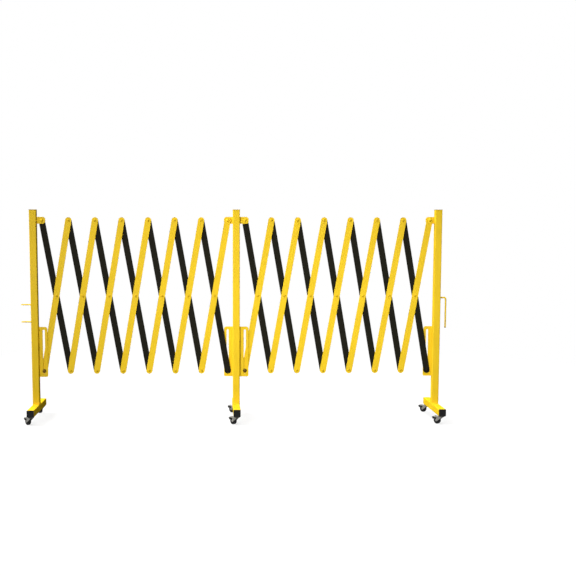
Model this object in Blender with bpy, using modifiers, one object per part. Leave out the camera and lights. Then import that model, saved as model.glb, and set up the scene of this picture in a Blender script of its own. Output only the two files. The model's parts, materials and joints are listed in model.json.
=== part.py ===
# Expandable safety barrier: three posts on castors, joined by two scissor lattices.
# Lengths are in metres and angles in radians. +X runs along the barrier to the right,
# -Y faces the viewer and +Z is up. The origin is on the floor, at the middle of the
# barrier's outline.
#
# Every moving piece is parented to the piece that carries it, and its origin is on its
# joint's axis. The whole barrier follows FOLD_ANGLE, the angle between a slat and the
# vertical: each slat turns twice that angle against the slat before it.

import math

import bpy
import bmesh
from mathutils import Matrix, Vector

COLLECTION_NAME = "expandable_safety_barrier"

# Clearances and joining overlaps
GAP = 0.0003
RUN_GAP = 0.0005
OVERLAP = 0.0006
CUT_OVERRUN = 0.003
WELD_DISTANCE = 0.000002

# How finely round shapes are cut, in sides for a full turn
SLAT_SIDES = 12
RIVET_SIDES = 8
PLATE_SIDES = 16
TUBE_CORNER_SIDES = 8
BORE_CORNER_SIDES = 4
BOLT_SIDES = 10
CASTOR_SIDES = 10
LEG_SIDES = 8
BRAKE_PIN_SIDES = 6
WHEEL_SIDES = 16
NUT_SIDES = 6
ROD_BEVEL_STEPS = 2
SMOOTH_ANGLE = math.radians(40)
FLAT_ANGLE = math.radians(0.05)

# Scissor lattice
CELLS = 7
TOP_PIVOT_DROP = 0.053
LOWEST_PIN_HEIGHT = 0.236
END_PIVOT_REACH = 0.043
FOLD_ANGLE = math.radians(9.93)
CLOSED_ANGLE = math.radians(2.5)
OPEN_ANGLE = math.radians(44)
SLAT_WIDTH = 0.031
SLAT_THICKNESS = 0.003

# Rivets at the crossings
RIVET_SHANK_RADIUS = 0.004
RIVET_HEAD_RADIUS = 0.0068
RIVET_HEAD_HEIGHT = 0.0022
RIVET_DOME_SHARE = 0.62
RIVET_TAIL_RADIUS = 0.0062
RIVET_TAIL_HEIGHT = 0.0016
SPACER_RADIUS = 0.008

# Posts and feet, all of one square tube
BARRIER_HEIGHT = 1.05
TUBE_SIDE = 0.035
TUBE_WALL = 0.002
TUBE_CORNER = 0.0035
FOOT_LENGTH = 0.378
FOOT_CLEARANCE = 0.042
CAP_PLATE_THICKNESS = 0.0027
CAP_PLATE_RIM = 0.0007
WELD_DEPTH = 0.0015
DRAIN_HOLE_RADIUS = 0.005
PLUG_FLANGE = 0.004
PLUG_DEPTH = 0.007
PLUG_WALL = 0.0025

# Bent plates on the posts: upper lugs and slotted brackets
PLATE_THICKNESS = 0.003
PLATE_MARGIN = 0.0185
PLATE_BEND_RADIUS = 0.0015
FLANGE_LENGTH = 0.019
LUG_HEIGHT = 0.034
LUG_CORNER = 0.013
BRACKET_CORNER = 0.006
SQUARE_CORNER = 0.0006
SLOT_HALF_WIDTH = 0.0053
SLOT_MARGIN = 0.014

# Bolts that slide in the slots
BOLT_SHANK_RADIUS = 0.0045
BOLT_HEAD_RADIUS = 0.008
BOLT_HEAD_HEIGHT = 0.003
WASHER_RADIUS = 0.0098
WASHER_THICKNESS = 0.0015
NUT_RADIUS = 0.0079
NUT_HEIGHT = 0.006
BOLT_END = 0.0015

# Hook rod on the right post and joining tabs on the left post
ROD_RADIUS = 0.004
ROD_REACH = 0.0463
ROD_TOP_HEIGHT = 0.6126
ROD_DROP = 0.1522
ROD_BEND_RADIUS = 0.009
ROD_BEND_STEPS = 5
TAB_MARGIN = 0.0207
TAB_WIDTH = 0.034
TAB_CORNER = 0.013
TAB_THICKNESS = 0.004
TAB_HOLE_RADIUS = 0.0054
TAB_DROP = 0.0331
TAB_SPACING = 0.086

# Castors. Along-the-fork places are measured from the swivel axis.
SWIVEL_ANGLE = math.radians(135)
TRAIL = 0.024
WHEEL_RADIUS = 0.0175
WHEEL_WIDTH = 0.013
WHEEL_SHOULDER = 0.0016
WHEEL_RIM = 0.0038
WHEEL_RECESS = 0.0018
WHEEL_WEB_RADIUS = 0.0095
AXLE_RADIUS = 0.0025
AXLE_END = 0.0012
FORK_WALL = 0.002
FORK_SIDE_GAP = 0.0007
FORK_AXLE_END_RADIUS = 0.006
FORK_BACK_REACH = 0.006
FORK_BACK_RADIUS = 0.003
CROWN_THICKNESS = 0.0015
CROWN_REACH = 0.030
HEAD_RADIUS = 0.0155
HEAD_LOWER_RADIUS = 0.0125
HEAD_RIM = 0.0028
HEAD_HEIGHT = 0.0052
STEM_RADIUS = 0.004
STEM_NUT_RADIUS = 0.0065
STEM_NUT_HEIGHT = 0.0055
STEM_NUT_GAP = 0.0035
BRAKE_PIN_RADIUS = 0.0015
BRAKE_PIN_DISTANCE = 0.023
BRAKE_PIN_ANGLE = math.radians(48)
BRAKE_HUB_RADIUS = 0.0033
BRAKE_SHOE_RADIUS = 0.0012
BRAKE_SHOE_DISTANCE = 0.0216
BRAKE_SHOE_ANGLE = math.radians(15)
BRAKE_TIP_RADIUS = 0.001
BRAKE_TIP_DISTANCE = 0.030
BRAKE_TIP_ANGLE = math.radians(28)


def clearing_radius(radius, clearance, sides):
    """Corner radius of a many-sided round whose flats keep clear of the given radius."""
    return (radius + clearance) / math.cos(math.pi / sides)


# Worked-out sizes
HALF_TUBE = TUBE_SIDE / 2
TOP_PIVOT_HEIGHT = BARRIER_HEIGHT - TOP_PIVOT_DROP
PIVOT_LENGTH = (TOP_PIVOT_HEIGHT - LOWEST_PIN_HEIGHT) / math.cos(CLOSED_ANGLE)
PITCH = PIVOT_LENGTH * math.sin(FOLD_ANGLE)
POST_SPACING = 2 * END_PIVOT_REACH + CELLS * PITCH
LAYER_OFFSET = (SLAT_THICKNESS + GAP) / 2
SLAT_FACE = SLAT_THICKNESS + GAP / 2
PLATE_NEAR_FACE = SLAT_FACE + RUN_GAP
PLATE_FAR_FACE = PLATE_NEAR_FACE + PLATE_THICKNESS
PLATE_REACH = END_PIVOT_REACH + PLATE_MARGIN
ROD_END_HEIGHT = ROD_TOP_HEIGHT - ROD_DROP
TAB_REACH = ROD_REACH + TAB_MARGIN
TAB_HEIGHTS = (ROD_TOP_HEIGHT - TAB_DROP, ROD_TOP_HEIGHT - TAB_DROP - TAB_SPACING)
FOOT_TOP = FOOT_CLEARANCE + TUBE_SIDE
STEM_REACH = FOOT_LENGTH / 2 - PLUG_DEPTH - STEM_NUT_RADIUS - STEM_NUT_GAP
WHEEL_CORNER_RADIUS = clearing_radius(WHEEL_RADIUS, 0, WHEEL_SIDES)
AXLE_HEIGHT = WHEEL_RADIUS
AXLE_PLACE = Vector((TRAIL, AXLE_HEIGHT))
LEG_INNER_FACE = WHEEL_WIDTH / 2 + FORK_SIDE_GAP
LEG_OUTER_FACE = LEG_INNER_FACE + FORK_WALL
HEAD_TOP = FOOT_CLEARANCE - GAP
HEAD_BOTTOM = HEAD_TOP - HEAD_HEIGHT


def from_axle(distance, angle):
    """A place in the fork's side view, by distance and angle from the axle."""
    return AXLE_PLACE + distance * Vector((math.cos(angle), math.sin(angle)))


BRAKE_PIN_PLACE = from_axle(BRAKE_PIN_DISTANCE, BRAKE_PIN_ANGLE)
BRAKE_TIP_PLACE = from_axle(BRAKE_TIP_DISTANCE, BRAKE_TIP_ANGLE)
BRAKE_SHOE_PLACE = from_axle(BRAKE_SHOE_DISTANCE, BRAKE_SHOE_ANGLE)

# The middle post stands where the barrier's outline is centred on the origin
LEFT_REACH = TAB_REACH
RIGHT_REACH = ROD_REACH + ROD_RADIUS
FRONT_REACH = FOOT_LENGTH / 2 + GAP + PLUG_FLANGE
BACK_REACH = (STEM_REACH
              + (BRAKE_TIP_PLACE.x + BRAKE_TIP_RADIUS) * math.sin(SWIVEL_ANGLE)
              - WHEEL_WIDTH / 2 * math.cos(SWIVEL_ANGLE))
MIDDLE_POST_PLACE = Vector(((LEFT_REACH - RIGHT_REACH) / 2, (FRONT_REACH - BACK_REACH) / 2, 0))

# A shape drawn in X and Y stands up with its Y turned to +Z and its axis to -Y
STAND_UP = Matrix.Rotation(math.radians(90), 4, "X")
HALF_TURN = Matrix.Rotation(math.radians(180), 4, "Z")


# Outlines

def circle(centre, radius, sides):
    """Points of a full circle, anticlockwise."""
    cx, cy = centre
    turns = [2 * math.pi * step / sides for step in range(sides)]
    return [(cx + radius * math.cos(turn), cy + radius * math.sin(turn)) for turn in turns]


def wrapped(circles, sides):
    """Outline of a taut band round circles given anticlockwise as (x, y, radius)."""
    normals = []
    for index, (x, y, radius) in enumerate(circles):
        next_x, next_y, next_radius = circles[(index + 1) % len(circles)]
        along = Vector((next_x - x, next_y - y))
        lean = math.acos((radius - next_radius) / along.length)
        normals.append(math.atan2(along.y, along.x) - lean)
    points = []
    for index, (x, y, radius) in enumerate(circles):
        start = normals[index - 1]
        sweep = (normals[index] - start) % (2 * math.pi)
        steps = max(1, round(sweep / (2 * math.pi) * sides))
        for step in range(steps + 1):
            turn = start + sweep * step / steps
            points.append((x + radius * math.cos(turn), y + radius * math.sin(turn)))
    return points


def rounded_box(left, bottom, right, top, left_corner, right_corner, sides):
    """Outline of a rectangle with one corner radius on its left and one on its right."""
    return wrapped([
        (left + left_corner, bottom + left_corner, left_corner),
        (right - right_corner, bottom + right_corner, right_corner),
        (right - right_corner, top - right_corner, right_corner),
        (left + left_corner, top - left_corner, left_corner),
    ], sides)


# Meshes

def evaluated_mesh(source):
    """The mesh that an object shows after its modifiers. The object is then removed."""
    bpy.context.view_layer.update()
    graph = bpy.context.evaluated_depsgraph_get()
    mesh = bpy.data.meshes.new_from_object(source.evaluated_get(graph))
    data = source.data
    bpy.data.objects.remove(source)
    if isinstance(data, bpy.types.Mesh):
        bpy.data.meshes.remove(data)
    else:
        bpy.data.curves.remove(data)
    return mesh


def working_object(data):
    """A passing object in the scene, on which one shape is made."""
    made = bpy.data.objects.new("working_shape", data)
    bpy.context.scene.collection.objects.link(made)
    return made


def welded(mesh):
    """Close a mesh's coinciding edges and join the faces that lie in one plane."""
    shape = bmesh.new()
    shape.from_mesh(mesh)
    bmesh.ops.remove_doubles(shape, verts=shape.verts, dist=WELD_DISTANCE)
    bmesh.ops.dissolve_limit(shape, angle_limit=FLAT_ANGLE, verts=shape.verts, edges=shape.edges)
    bmesh.ops.recalc_face_normals(shape, faces=shape.faces)
    shape.to_mesh(mesh)
    shape.free()
    return mesh


def flat_shape(loops, thickness):
    """A plate in X and Y, from an outline and its holes, centred on Z = 0."""
    curve = bpy.data.curves.new("outline", "CURVE")
    curve.dimensions = "2D"
    curve.fill_mode = "BOTH"
    curve.extrude = thickness / 2
    for loop in loops:
        spline = curve.splines.new("POLY")
        spline.points.add(len(loop) - 1)
        spline.use_cyclic_u = True
        for point, (x, y) in zip(spline.points, loop):
            point.co = (x, y, 0, 1)
    return welded(evaluated_mesh(working_object(curve)))


def turned_shape(profile, sides, is_ring=False):
    """A shape turned round Z, from (radius, height) points down its outer side."""
    mesh = bpy.data.meshes.new("profile")
    points = [(radius, 0, height) for radius, height in profile]
    edges = [(index, index + 1) for index in range(len(points) - 1)]
    if is_ring:
        edges.append((len(points) - 1, 0))
    mesh.from_pydata(points, edges, [])
    turned = working_object(mesh)
    screw = turned.modifiers.new("turn", "SCREW")
    screw.axis = "Z"
    screw.steps = sides
    screw.render_steps = sides
    screw.use_merge_vertices = True
    screw.merge_threshold = WELD_DISTANCE
    return welded(evaluated_mesh(turned))


def moved(mesh, matrix):
    """The same mesh, placed by a matrix."""
    mesh.transform(matrix)
    return mesh


def copy_of(mesh, matrix):
    """A placed copy of a mesh."""
    return moved(mesh.copy(), matrix)


def boolean(base, tool, operation):
    """Join, cut or keep the common part of two closed meshes."""
    kept = working_object(base)
    other = working_object(tool)
    change = kept.modifiers.new("boolean", "BOOLEAN")
    change.operation = operation
    change.solver = "EXACT"
    change.object = other
    result = evaluated_mesh(kept)
    bpy.data.objects.remove(other)
    bpy.data.meshes.remove(tool)
    return welded(result)


def union(first, *others):
    """One solid from overlapping ones."""
    result = first
    for other in others:
        result = boolean(result, other, "UNION")
    return result


def round_bar(radius, length, sides):
    """A closed bar of round section along Z, centred on the origin."""
    half = length / 2
    return turned_shape([(0, half), (radius, half), (radius, -half), (0, -half)], sides)


# Objects

def coloured(name, colour, roughness, metallic):
    """A Principled material."""
    material = bpy.data.materials.new(name)
    material.use_nodes = True
    shader = material.node_tree.nodes["Principled BSDF"]
    shader.inputs["Base Color"].default_value = (*colour, 1)
    shader.inputs["Roughness"].default_value = roughness
    shader.inputs["Metallic"].default_value = metallic
    material.diffuse_color = (*colour, 1)
    return material


def add_piece(name, mesh, material, parent=None, place=(0, 0, 0), turn=Matrix.Identity(4)):
    """A named piece of the barrier, placed against the piece that carries it."""
    data = mesh.copy()
    data.name = name
    data.materials.clear()
    data.materials.append(material)
    data.shade_smooth()
    data.set_sharp_from_angle(angle=SMOOTH_ANGLE)
    piece = bpy.data.objects.new(name, data)
    bpy.data.collections[COLLECTION_NAME].objects.link(piece)
    piece.parent = parent
    piece.matrix_local = Matrix.Translation(place) @ turn
    return piece


# Slats

def rivet(is_on_yellow, has_lug):
    """A rivet with the spacer that a lug pivot needs, its axis turned to -Y.

    Heights are distances towards the viewer from the plane between the two layers.
    """
    if is_on_yellow:
        dome_base = SLAT_FACE - OVERLAP
        dome_seat = SLAT_FACE
        tail_seat = -(PLATE_FAR_FACE if has_lug else SLAT_FACE) - GAP
    else:
        dome_base = PLATE_FAR_FACE + GAP
        dome_seat = dome_base
        tail_seat = -SLAT_FACE + OVERLAP
    profile = [
        (0, dome_seat + RIVET_HEAD_HEIGHT),
        (RIVET_HEAD_RADIUS * RIVET_DOME_SHARE, dome_seat + RIVET_HEAD_HEIGHT * RIVET_DOME_SHARE ** 0.5),
        (RIVET_HEAD_RADIUS, dome_base),
        (RIVET_SHANK_RADIUS, dome_base),
    ]
    if has_lug:
        spacer_far = PLATE_NEAR_FACE - GAP
        spacer_near = -GAP / 2 - OVERLAP
        ends = (-spacer_near, -spacer_far) if is_on_yellow else (spacer_far, spacer_near)
        profile += [(RIVET_SHANK_RADIUS, ends[0]), (SPACER_RADIUS, ends[0]),
                    (SPACER_RADIUS, ends[1]), (RIVET_SHANK_RADIUS, ends[1])]
    profile += [(RIVET_SHANK_RADIUS, tail_seat), (RIVET_TAIL_RADIUS, tail_seat),
                (0, tail_seat - RIVET_TAIL_HEIGHT)]
    return moved(turned_shape(profile, RIVET_SIDES), STAND_UP)


def slat(is_yellow, is_end):
    """A slat along Z with its middle pivot at the origin, its layer and its fittings.

    A yellow slat carries rivets and a black one has their holes. An end slat hangs on a
    post's lug at its top (the last yellow and the first black) or slides in a slot at
    its bottom (the first yellow and the last black).
    """
    half = PIVOT_LENGTH / 2
    at_lug = is_end == "lug"
    at_slot = is_end == "slot"
    rivet_hole = clearing_radius(RIVET_SHANK_RADIUS, GAP, RIVET_SIDES)
    bolt_hole = clearing_radius(BOLT_SHANK_RADIUS, GAP, BOLT_SIDES)
    loops = [wrapped([(0, -half, SLAT_WIDTH / 2), (0, half, SLAT_WIDTH / 2)], SLAT_SIDES)]
    rivets = []
    if is_yellow:
        rivets.append((half, rivet(True, at_lug)))
        rivets.append((0, rivet(True, False)))
        if not at_slot:
            rivets.append((-half, rivet(True, False)))
    else:
        loops.append(circle((0, 0), rivet_hole, RIVET_SIDES))
        if at_lug:
            rivets.append((half, rivet(False, True)))
        else:
            loops.append(circle((0, half), rivet_hole, RIVET_SIDES))
        if not at_slot:
            loops.append(circle((0, -half), rivet_hole, RIVET_SIDES))
    if at_slot:
        loops.append(circle((0, -half), bolt_hole, BOLT_SIDES))
    layer = -LAYER_OFFSET if is_yellow else LAYER_OFFSET
    plate = moved(flat_shape(loops, SLAT_THICKNESS), Matrix.Translation((0, layer, 0)) @ STAND_UP)
    placed = [moved(mesh, Matrix.Translation((0, 0, height))) for height, mesh in rivets]
    return union(plate, *placed)


def slot_bolt():
    """A dome-headed bolt with its washer and nut on the Y axis, nut towards the viewer.

    It is placed for a yellow slat behind a front plate. A black slat's bolt is the same
    one turned half round.
    """
    head_seat = GAP / 2 - GAP
    washer_seat = PLATE_FAR_FACE + GAP
    nut_seat = washer_seat + WASHER_THICKNESS
    nut_top = nut_seat + NUT_HEIGHT
    bolt = turned_shape([
        (0, nut_top + BOLT_END),
        (BOLT_SHANK_RADIUS, nut_top + BOLT_END),
        (BOLT_SHANK_RADIUS, nut_seat),
        (WASHER_RADIUS, nut_seat),
        (WASHER_RADIUS, washer_seat),
        (BOLT_SHANK_RADIUS, washer_seat),
        (BOLT_SHANK_RADIUS, head_seat),
        (BOLT_HEAD_RADIUS, head_seat),
        (BOLT_HEAD_RADIUS * RIVET_DOME_SHARE, head_seat - BOLT_HEAD_HEIGHT),
        (0, head_seat - BOLT_HEAD_HEIGHT),
    ], BOLT_SIDES)
    nut = flat_shape([circle((0, 0), NUT_RADIUS, NUT_SIDES)], NUT_HEIGHT + OVERLAP)
    moved(nut, Matrix.Translation((0, 0, nut_seat + (NUT_HEIGHT - OVERLAP) / 2)))
    return moved(union(bolt, nut), STAND_UP)


# Posts and what is welded to them

def tube_section():
    """Outline and bore of the square tube."""
    bore = HALF_TUBE - TUBE_WALL
    bore_corner = TUBE_CORNER - TUBE_WALL
    return [rounded_box(-HALF_TUBE, -HALF_TUBE, HALF_TUBE, HALF_TUBE,
                        TUBE_CORNER, TUBE_CORNER, TUBE_CORNER_SIDES),
            rounded_box(-bore, -bore, bore, bore, bore_corner, bore_corner, BORE_CORNER_SIDES)]


def foot_tube():
    """Foot tube with the castors' stem holes, and a drain hole under the upright's bore."""
    foot = moved(flat_shape(tube_section(), FOOT_LENGTH), STAND_UP)
    moved(foot, Matrix.Translation((0, 0, FOOT_CLEARANCE + HALF_TUBE)))
    stem_hole = clearing_radius(STEM_RADIUS, GAP, CASTOR_SIDES)
    for radius, along, wall in ((stem_hole, -STEM_REACH, FOOT_CLEARANCE),
                                (stem_hole, STEM_REACH, FOOT_CLEARANCE),
                                (DRAIN_HOLE_RADIUS, 0, FOOT_TOP - TUBE_WALL)):
        drill = round_bar(radius, TUBE_WALL + 2 * CUT_OVERRUN, CASTOR_SIDES)
        moved(drill, Matrix.Translation((0, along, wall + TUBE_WALL / 2)))
        foot = boolean(foot, drill, "DIFFERENCE")
    return foot


def post_frame(*fittings):
    """A welded post about its own axis: foot tube, upright, cap plate and the given plates."""
    upright_bottom = FOOT_TOP - WELD_DEPTH
    upright_top = BARRIER_HEIGHT - CAP_PLATE_THICKNESS + OVERLAP
    upright = flat_shape(tube_section(), upright_top - upright_bottom)
    moved(upright, Matrix.Translation((0, 0, (upright_top + upright_bottom) / 2)))
    rim = HALF_TUBE + CAP_PLATE_RIM
    plate = flat_shape([rounded_box(-rim, -rim, rim, rim, TUBE_CORNER, TUBE_CORNER, TUBE_CORNER_SIDES)],
                       CAP_PLATE_THICKNESS)
    moved(plate, Matrix.Translation((0, 0, BARRIER_HEIGHT - CAP_PLATE_THICKNESS / 2)))
    return union(foot_tube(), upright, plate, *fittings)


def foot_cap():
    """The plastic cap of a foot's front end: a flange and a hollow plug in the tube."""
    flange = flat_shape([tube_section()[0]], PLUG_FLANGE)
    moved(flange, Matrix.Translation((0, 0, PLUG_FLANGE / 2)))
    outer = HALF_TUBE - TUBE_WALL - GAP
    inner = outer - PLUG_WALL
    corner = TUBE_CORNER - TUBE_WALL
    plug = flat_shape([rounded_box(-outer, -outer, outer, outer, corner, corner, BORE_CORNER_SIDES),
                       rounded_box(-inner, -inner, inner, inner, corner, corner, BORE_CORNER_SIDES)],
                      PLUG_DEPTH + OVERLAP)
    moved(plug, Matrix.Translation((0, 0, (OVERLAP - PLUG_DEPTH) / 2)))
    cap = moved(union(flange, plug), STAND_UP)
    return moved(cap, Matrix.Translation((0, -FOOT_LENGTH / 2 - GAP, FOOT_CLEARANCE + HALF_TUBE)))


def bent_section():
    """Plan of a plate bent to an L: flange on the post's side, plate towards the viewer."""
    left = HALF_TUBE - OVERLAP
    outer_radius = PLATE_BEND_RADIUS + PLATE_THICKNESS
    inner_x = left + PLATE_THICKNESS
    bend_x = left + outer_radius
    bend_y = -PLATE_FAR_FACE + outer_radius
    quarter = PLATE_SIDES // 8
    outer_bend = []
    inner_bend = []
    for step in range(quarter + 1):
        turn = math.pi + math.pi / 2 * step / quarter
        toward = Vector((math.cos(turn), math.sin(turn)))
        outer_bend.append((bend_x + outer_radius * toward.x, bend_y + outer_radius * toward.y))
        inner_bend.append((bend_x + PLATE_BEND_RADIUS * toward.x, bend_y + PLATE_BEND_RADIUS * toward.y))
    flange_end = -PLATE_FAR_FACE + FLANGE_LENGTH
    return (outer_bend
            + [(PLATE_REACH + CUT_OVERRUN, -PLATE_FAR_FACE), (PLATE_REACH + CUT_OVERRUN, -PLATE_NEAR_FACE)]
            + inner_bend[::-1]
            + [(inner_x, flange_end), (left, flange_end)])


def bent_plate(front_loops, bottom, top):
    """An L plate whose front view is the given outline with its holes."""
    height = top - bottom + 2 * CUT_OVERRUN
    bent = flat_shape([bent_section()], height)
    moved(bent, Matrix.Translation((0, 0, (bottom + top) / 2)))
    stencil = moved(flat_shape(front_loops, 2 * (FLANGE_LENGTH + PLATE_FAR_FACE)), STAND_UP)
    return boolean(bent, stencil, "INTERSECT")


def upper_lug():
    """The lug that a lattice's end slat hangs on, for a post's right side."""
    hole = clearing_radius(RIVET_SHANK_RADIUS, GAP, RIVET_SIDES)
    bottom = TOP_PIVOT_HEIGHT - LUG_HEIGHT / 2
    top = TOP_PIVOT_HEIGHT + LUG_HEIGHT / 2
    outline = rounded_box(HALF_TUBE - WELD_DEPTH, bottom, PLATE_REACH, top,
                          SQUARE_CORNER, LUG_CORNER, PLATE_SIDES)
    return bent_plate([outline, circle((END_PIVOT_REACH, TOP_PIVOT_HEIGHT), hole, RIVET_SIDES)],
                      bottom, top)


def slotted_bracket():
    """The bracket whose slot guides a lattice's lower end, for a post's right side."""
    highest_pin = TOP_PIVOT_HEIGHT - PIVOT_LENGTH * math.cos(OPEN_ANGLE)
    bottom = LOWEST_PIN_HEIGHT - SLOT_HALF_WIDTH - SLOT_MARGIN
    top = highest_pin + SLOT_HALF_WIDTH + SLOT_MARGIN
    outline = rounded_box(HALF_TUBE - WELD_DEPTH, bottom, PLATE_REACH, top,
                          SQUARE_CORNER, BRACKET_CORNER, PLATE_SIDES)
    slot = wrapped([(END_PIVOT_REACH, LOWEST_PIN_HEIGHT, SLOT_HALF_WIDTH),
                    (END_PIVOT_REACH, highest_pin, SLOT_HALF_WIDTH)], PLATE_SIDES // 2)
    return bent_plate([outline, slot], bottom, top)


def right_side_plates():
    """Lug and slotted bracket on a post's right side, in front of the slats."""
    return [upper_lug(), slotted_bracket()]


def left_side_plates():
    """Lug and slotted bracket on a post's left side, behind the slats."""
    return [moved(plate, HALF_TURN) for plate in right_side_plates()]


def joining_tabs():
    """The two tabs on a post's left side that take the next barrier's hook rod."""
    hole = circle((-ROD_REACH, 0), TAB_HOLE_RADIUS, PLATE_SIDES)
    half_width = TAB_WIDTH / 2
    outline = rounded_box(-TAB_REACH, -half_width, OVERLAP - HALF_TUBE, half_width,
                          TAB_CORNER, SQUARE_CORNER, PLATE_SIDES)
    tab = flat_shape([outline, hole], TAB_THICKNESS)
    return [copy_of(tab, Matrix.Translation((0, 0, height))) for height in TAB_HEIGHTS]


def hook_rod():
    """The rod that leaves a post's right side and turns down."""
    corner = Vector((ROD_REACH - ROD_BEND_RADIUS, ROD_TOP_HEIGHT - ROD_BEND_RADIUS))
    places = [Vector((HALF_TUBE + GAP, ROD_TOP_HEIGHT))]
    for step in range(ROD_BEND_STEPS + 1):
        turn = math.pi / 2 * (1 - step / ROD_BEND_STEPS)
        places.append(corner + ROD_BEND_RADIUS * Vector((math.cos(turn), math.sin(turn))))
    places.append(Vector((ROD_REACH, ROD_END_HEIGHT)))
    curve = bpy.data.curves.new("rod", "CURVE")
    curve.dimensions = "3D"
    curve.bevel_depth = ROD_RADIUS
    curve.bevel_resolution = ROD_BEVEL_STEPS
    curve.use_fill_caps = True
    spline = curve.splines.new("POLY")
    spline.points.add(len(places) - 1)
    for point, place in zip(spline.points, places):
        point.co = (place.x, 0, place.y, 1)
    return welded(evaluated_mesh(working_object(curve)))


# Castors. The fork points along +X from its swivel axis.

def castor_fork():
    """Stem, nut, swivel head, crown, two legs, axle and brake pin."""
    nut_bottom = FOOT_CLEARANCE + TUBE_WALL + GAP
    nut_top = nut_bottom + STEM_NUT_HEIGHT
    head = turned_shape([
        (0, nut_top),
        (STEM_NUT_RADIUS, nut_top),
        (STEM_NUT_RADIUS, nut_bottom),
        (STEM_RADIUS, nut_bottom),
        (STEM_RADIUS, HEAD_TOP),
        (HEAD_RADIUS, HEAD_TOP),
        (HEAD_RADIUS, HEAD_TOP - HEAD_RIM),
        (HEAD_LOWER_RADIUS, HEAD_BOTTOM),
        (0, HEAD_BOTTOM),
    ], CASTOR_SIDES)
    leg_top = HEAD_BOTTOM + CROWN_THICKNESS
    outline = wrapped([
        (-FORK_BACK_REACH, leg_top - FORK_BACK_RADIUS, FORK_BACK_RADIUS),
        (AXLE_PLACE.x, AXLE_PLACE.y, FORK_AXLE_END_RADIUS),
        (BRAKE_PIN_PLACE.x, leg_top - BRAKE_HUB_RADIUS, BRAKE_HUB_RADIUS),
    ], LEG_SIDES)
    crown_side = LEG_INNER_FACE + OVERLAP
    crown = flat_shape([rounded_box(-FORK_BACK_REACH, -crown_side, CROWN_REACH, crown_side,
                                    SQUARE_CORNER, SQUARE_CORNER, 0)], CROWN_THICKNESS)
    pieces = [moved(crown, Matrix.Translation((0, 0, HEAD_BOTTOM + CROWN_THICKNESS / 2)))]
    for side in (-1, 1):
        leg = moved(flat_shape([outline], FORK_WALL), STAND_UP)
        pieces.append(moved(leg, Matrix.Translation((0, side * (LEG_INNER_FACE + FORK_WALL / 2), 0))))
    cross_length = 2 * (LEG_OUTER_FACE + AXLE_END)
    for place, radius, sides in ((AXLE_PLACE, AXLE_RADIUS, LEG_SIDES),
                                 (BRAKE_PIN_PLACE, BRAKE_PIN_RADIUS, BRAKE_PIN_SIDES)):
        bar = moved(round_bar(radius, cross_length, sides), STAND_UP)
        pieces.append(moved(bar, Matrix.Translation((place.x, 0, place.y))))
    return union(head, *pieces)


def castor_wheel():
    """Wheel with a recessed web on each side, turned about its axle.

    It stands on one of its flats, so its corners reach a little past its radius.
    """
    half = WHEEL_WIDTH / 2
    bore = clearing_radius(AXLE_RADIUS, GAP, WHEEL_SIDES)
    upper_side = [
        (bore, half),
        (WHEEL_WEB_RADIUS, half - WHEEL_RECESS),
        (WHEEL_RADIUS - WHEEL_RIM, half),
        (WHEEL_CORNER_RADIUS - WHEEL_SHOULDER, half),
        (WHEEL_CORNER_RADIUS, half - WHEEL_SHOULDER),
    ]
    lower_side = [(radius, -height) for radius, height in reversed(upper_side)]
    wheel = turned_shape(upper_side + lower_side, WHEEL_SIDES, is_ring=True)
    onto_flat = Matrix.Rotation(math.pi / WHEEL_SIDES, 4, "Z")
    return moved(wheel, STAND_UP @ onto_flat)


def castor_brake():
    """Brake pedal with its shoe behind the wheel, about its pin."""
    outline = []
    for place, radius in ((BRAKE_SHOE_PLACE, BRAKE_SHOE_RADIUS), (BRAKE_TIP_PLACE, BRAKE_TIP_RADIUS),
                          (BRAKE_PIN_PLACE, BRAKE_HUB_RADIUS)):
        offset = place - BRAKE_PIN_PLACE
        outline.append((offset.x, offset.y, radius))
    hole = circle((0, 0), clearing_radius(BRAKE_PIN_RADIUS, GAP, BRAKE_PIN_SIDES), BRAKE_PIN_SIDES)
    return moved(flat_shape([wrapped(outline, LEG_SIDES), hole], WHEEL_WIDTH), STAND_UP)


# Assembly

def add_castors(post_name, post, shapes, materials):
    """A swivel castor with its wheel and brake near each end of a foot."""
    for place_name, side in (("front", -1), ("rear", 1)):
        name = f"{post_name}_{place_name}_castor"
        swivel = Matrix.Rotation(SWIVEL_ANGLE, 4, "Z")
        fork = add_piece(f"{name}_fork", shapes["fork"], materials["zinc"], post,
                         (0, side * STEM_REACH, 0), swivel)
        add_piece(f"{name}_wheel", shapes["wheel"], materials["tyre"], fork,
                  (AXLE_PLACE.x, 0, AXLE_PLACE.y))
        add_piece(f"{name}_brake", shapes["brake"], materials["plastic"], fork,
                  (BRAKE_PIN_PLACE.x, 0, BRAKE_PIN_PLACE.y))


def add_post(name, frame, shapes, materials, parent=None, place=(0, 0, 0), turn=Matrix.Identity(4)):
    """A welded post with its foot caps and castors."""
    post = add_piece(f"{name}_post", frame, materials["yellow"], parent, place, turn)
    add_piece(f"{name}_front_foot_cap", shapes["cap"], materials["plastic"], post)
    add_piece(f"{name}_rear_foot_cap", shapes["cap"], materials["plastic"], post, turn=HALF_TURN)
    add_castors(name, post, shapes, materials)
    return post


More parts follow.
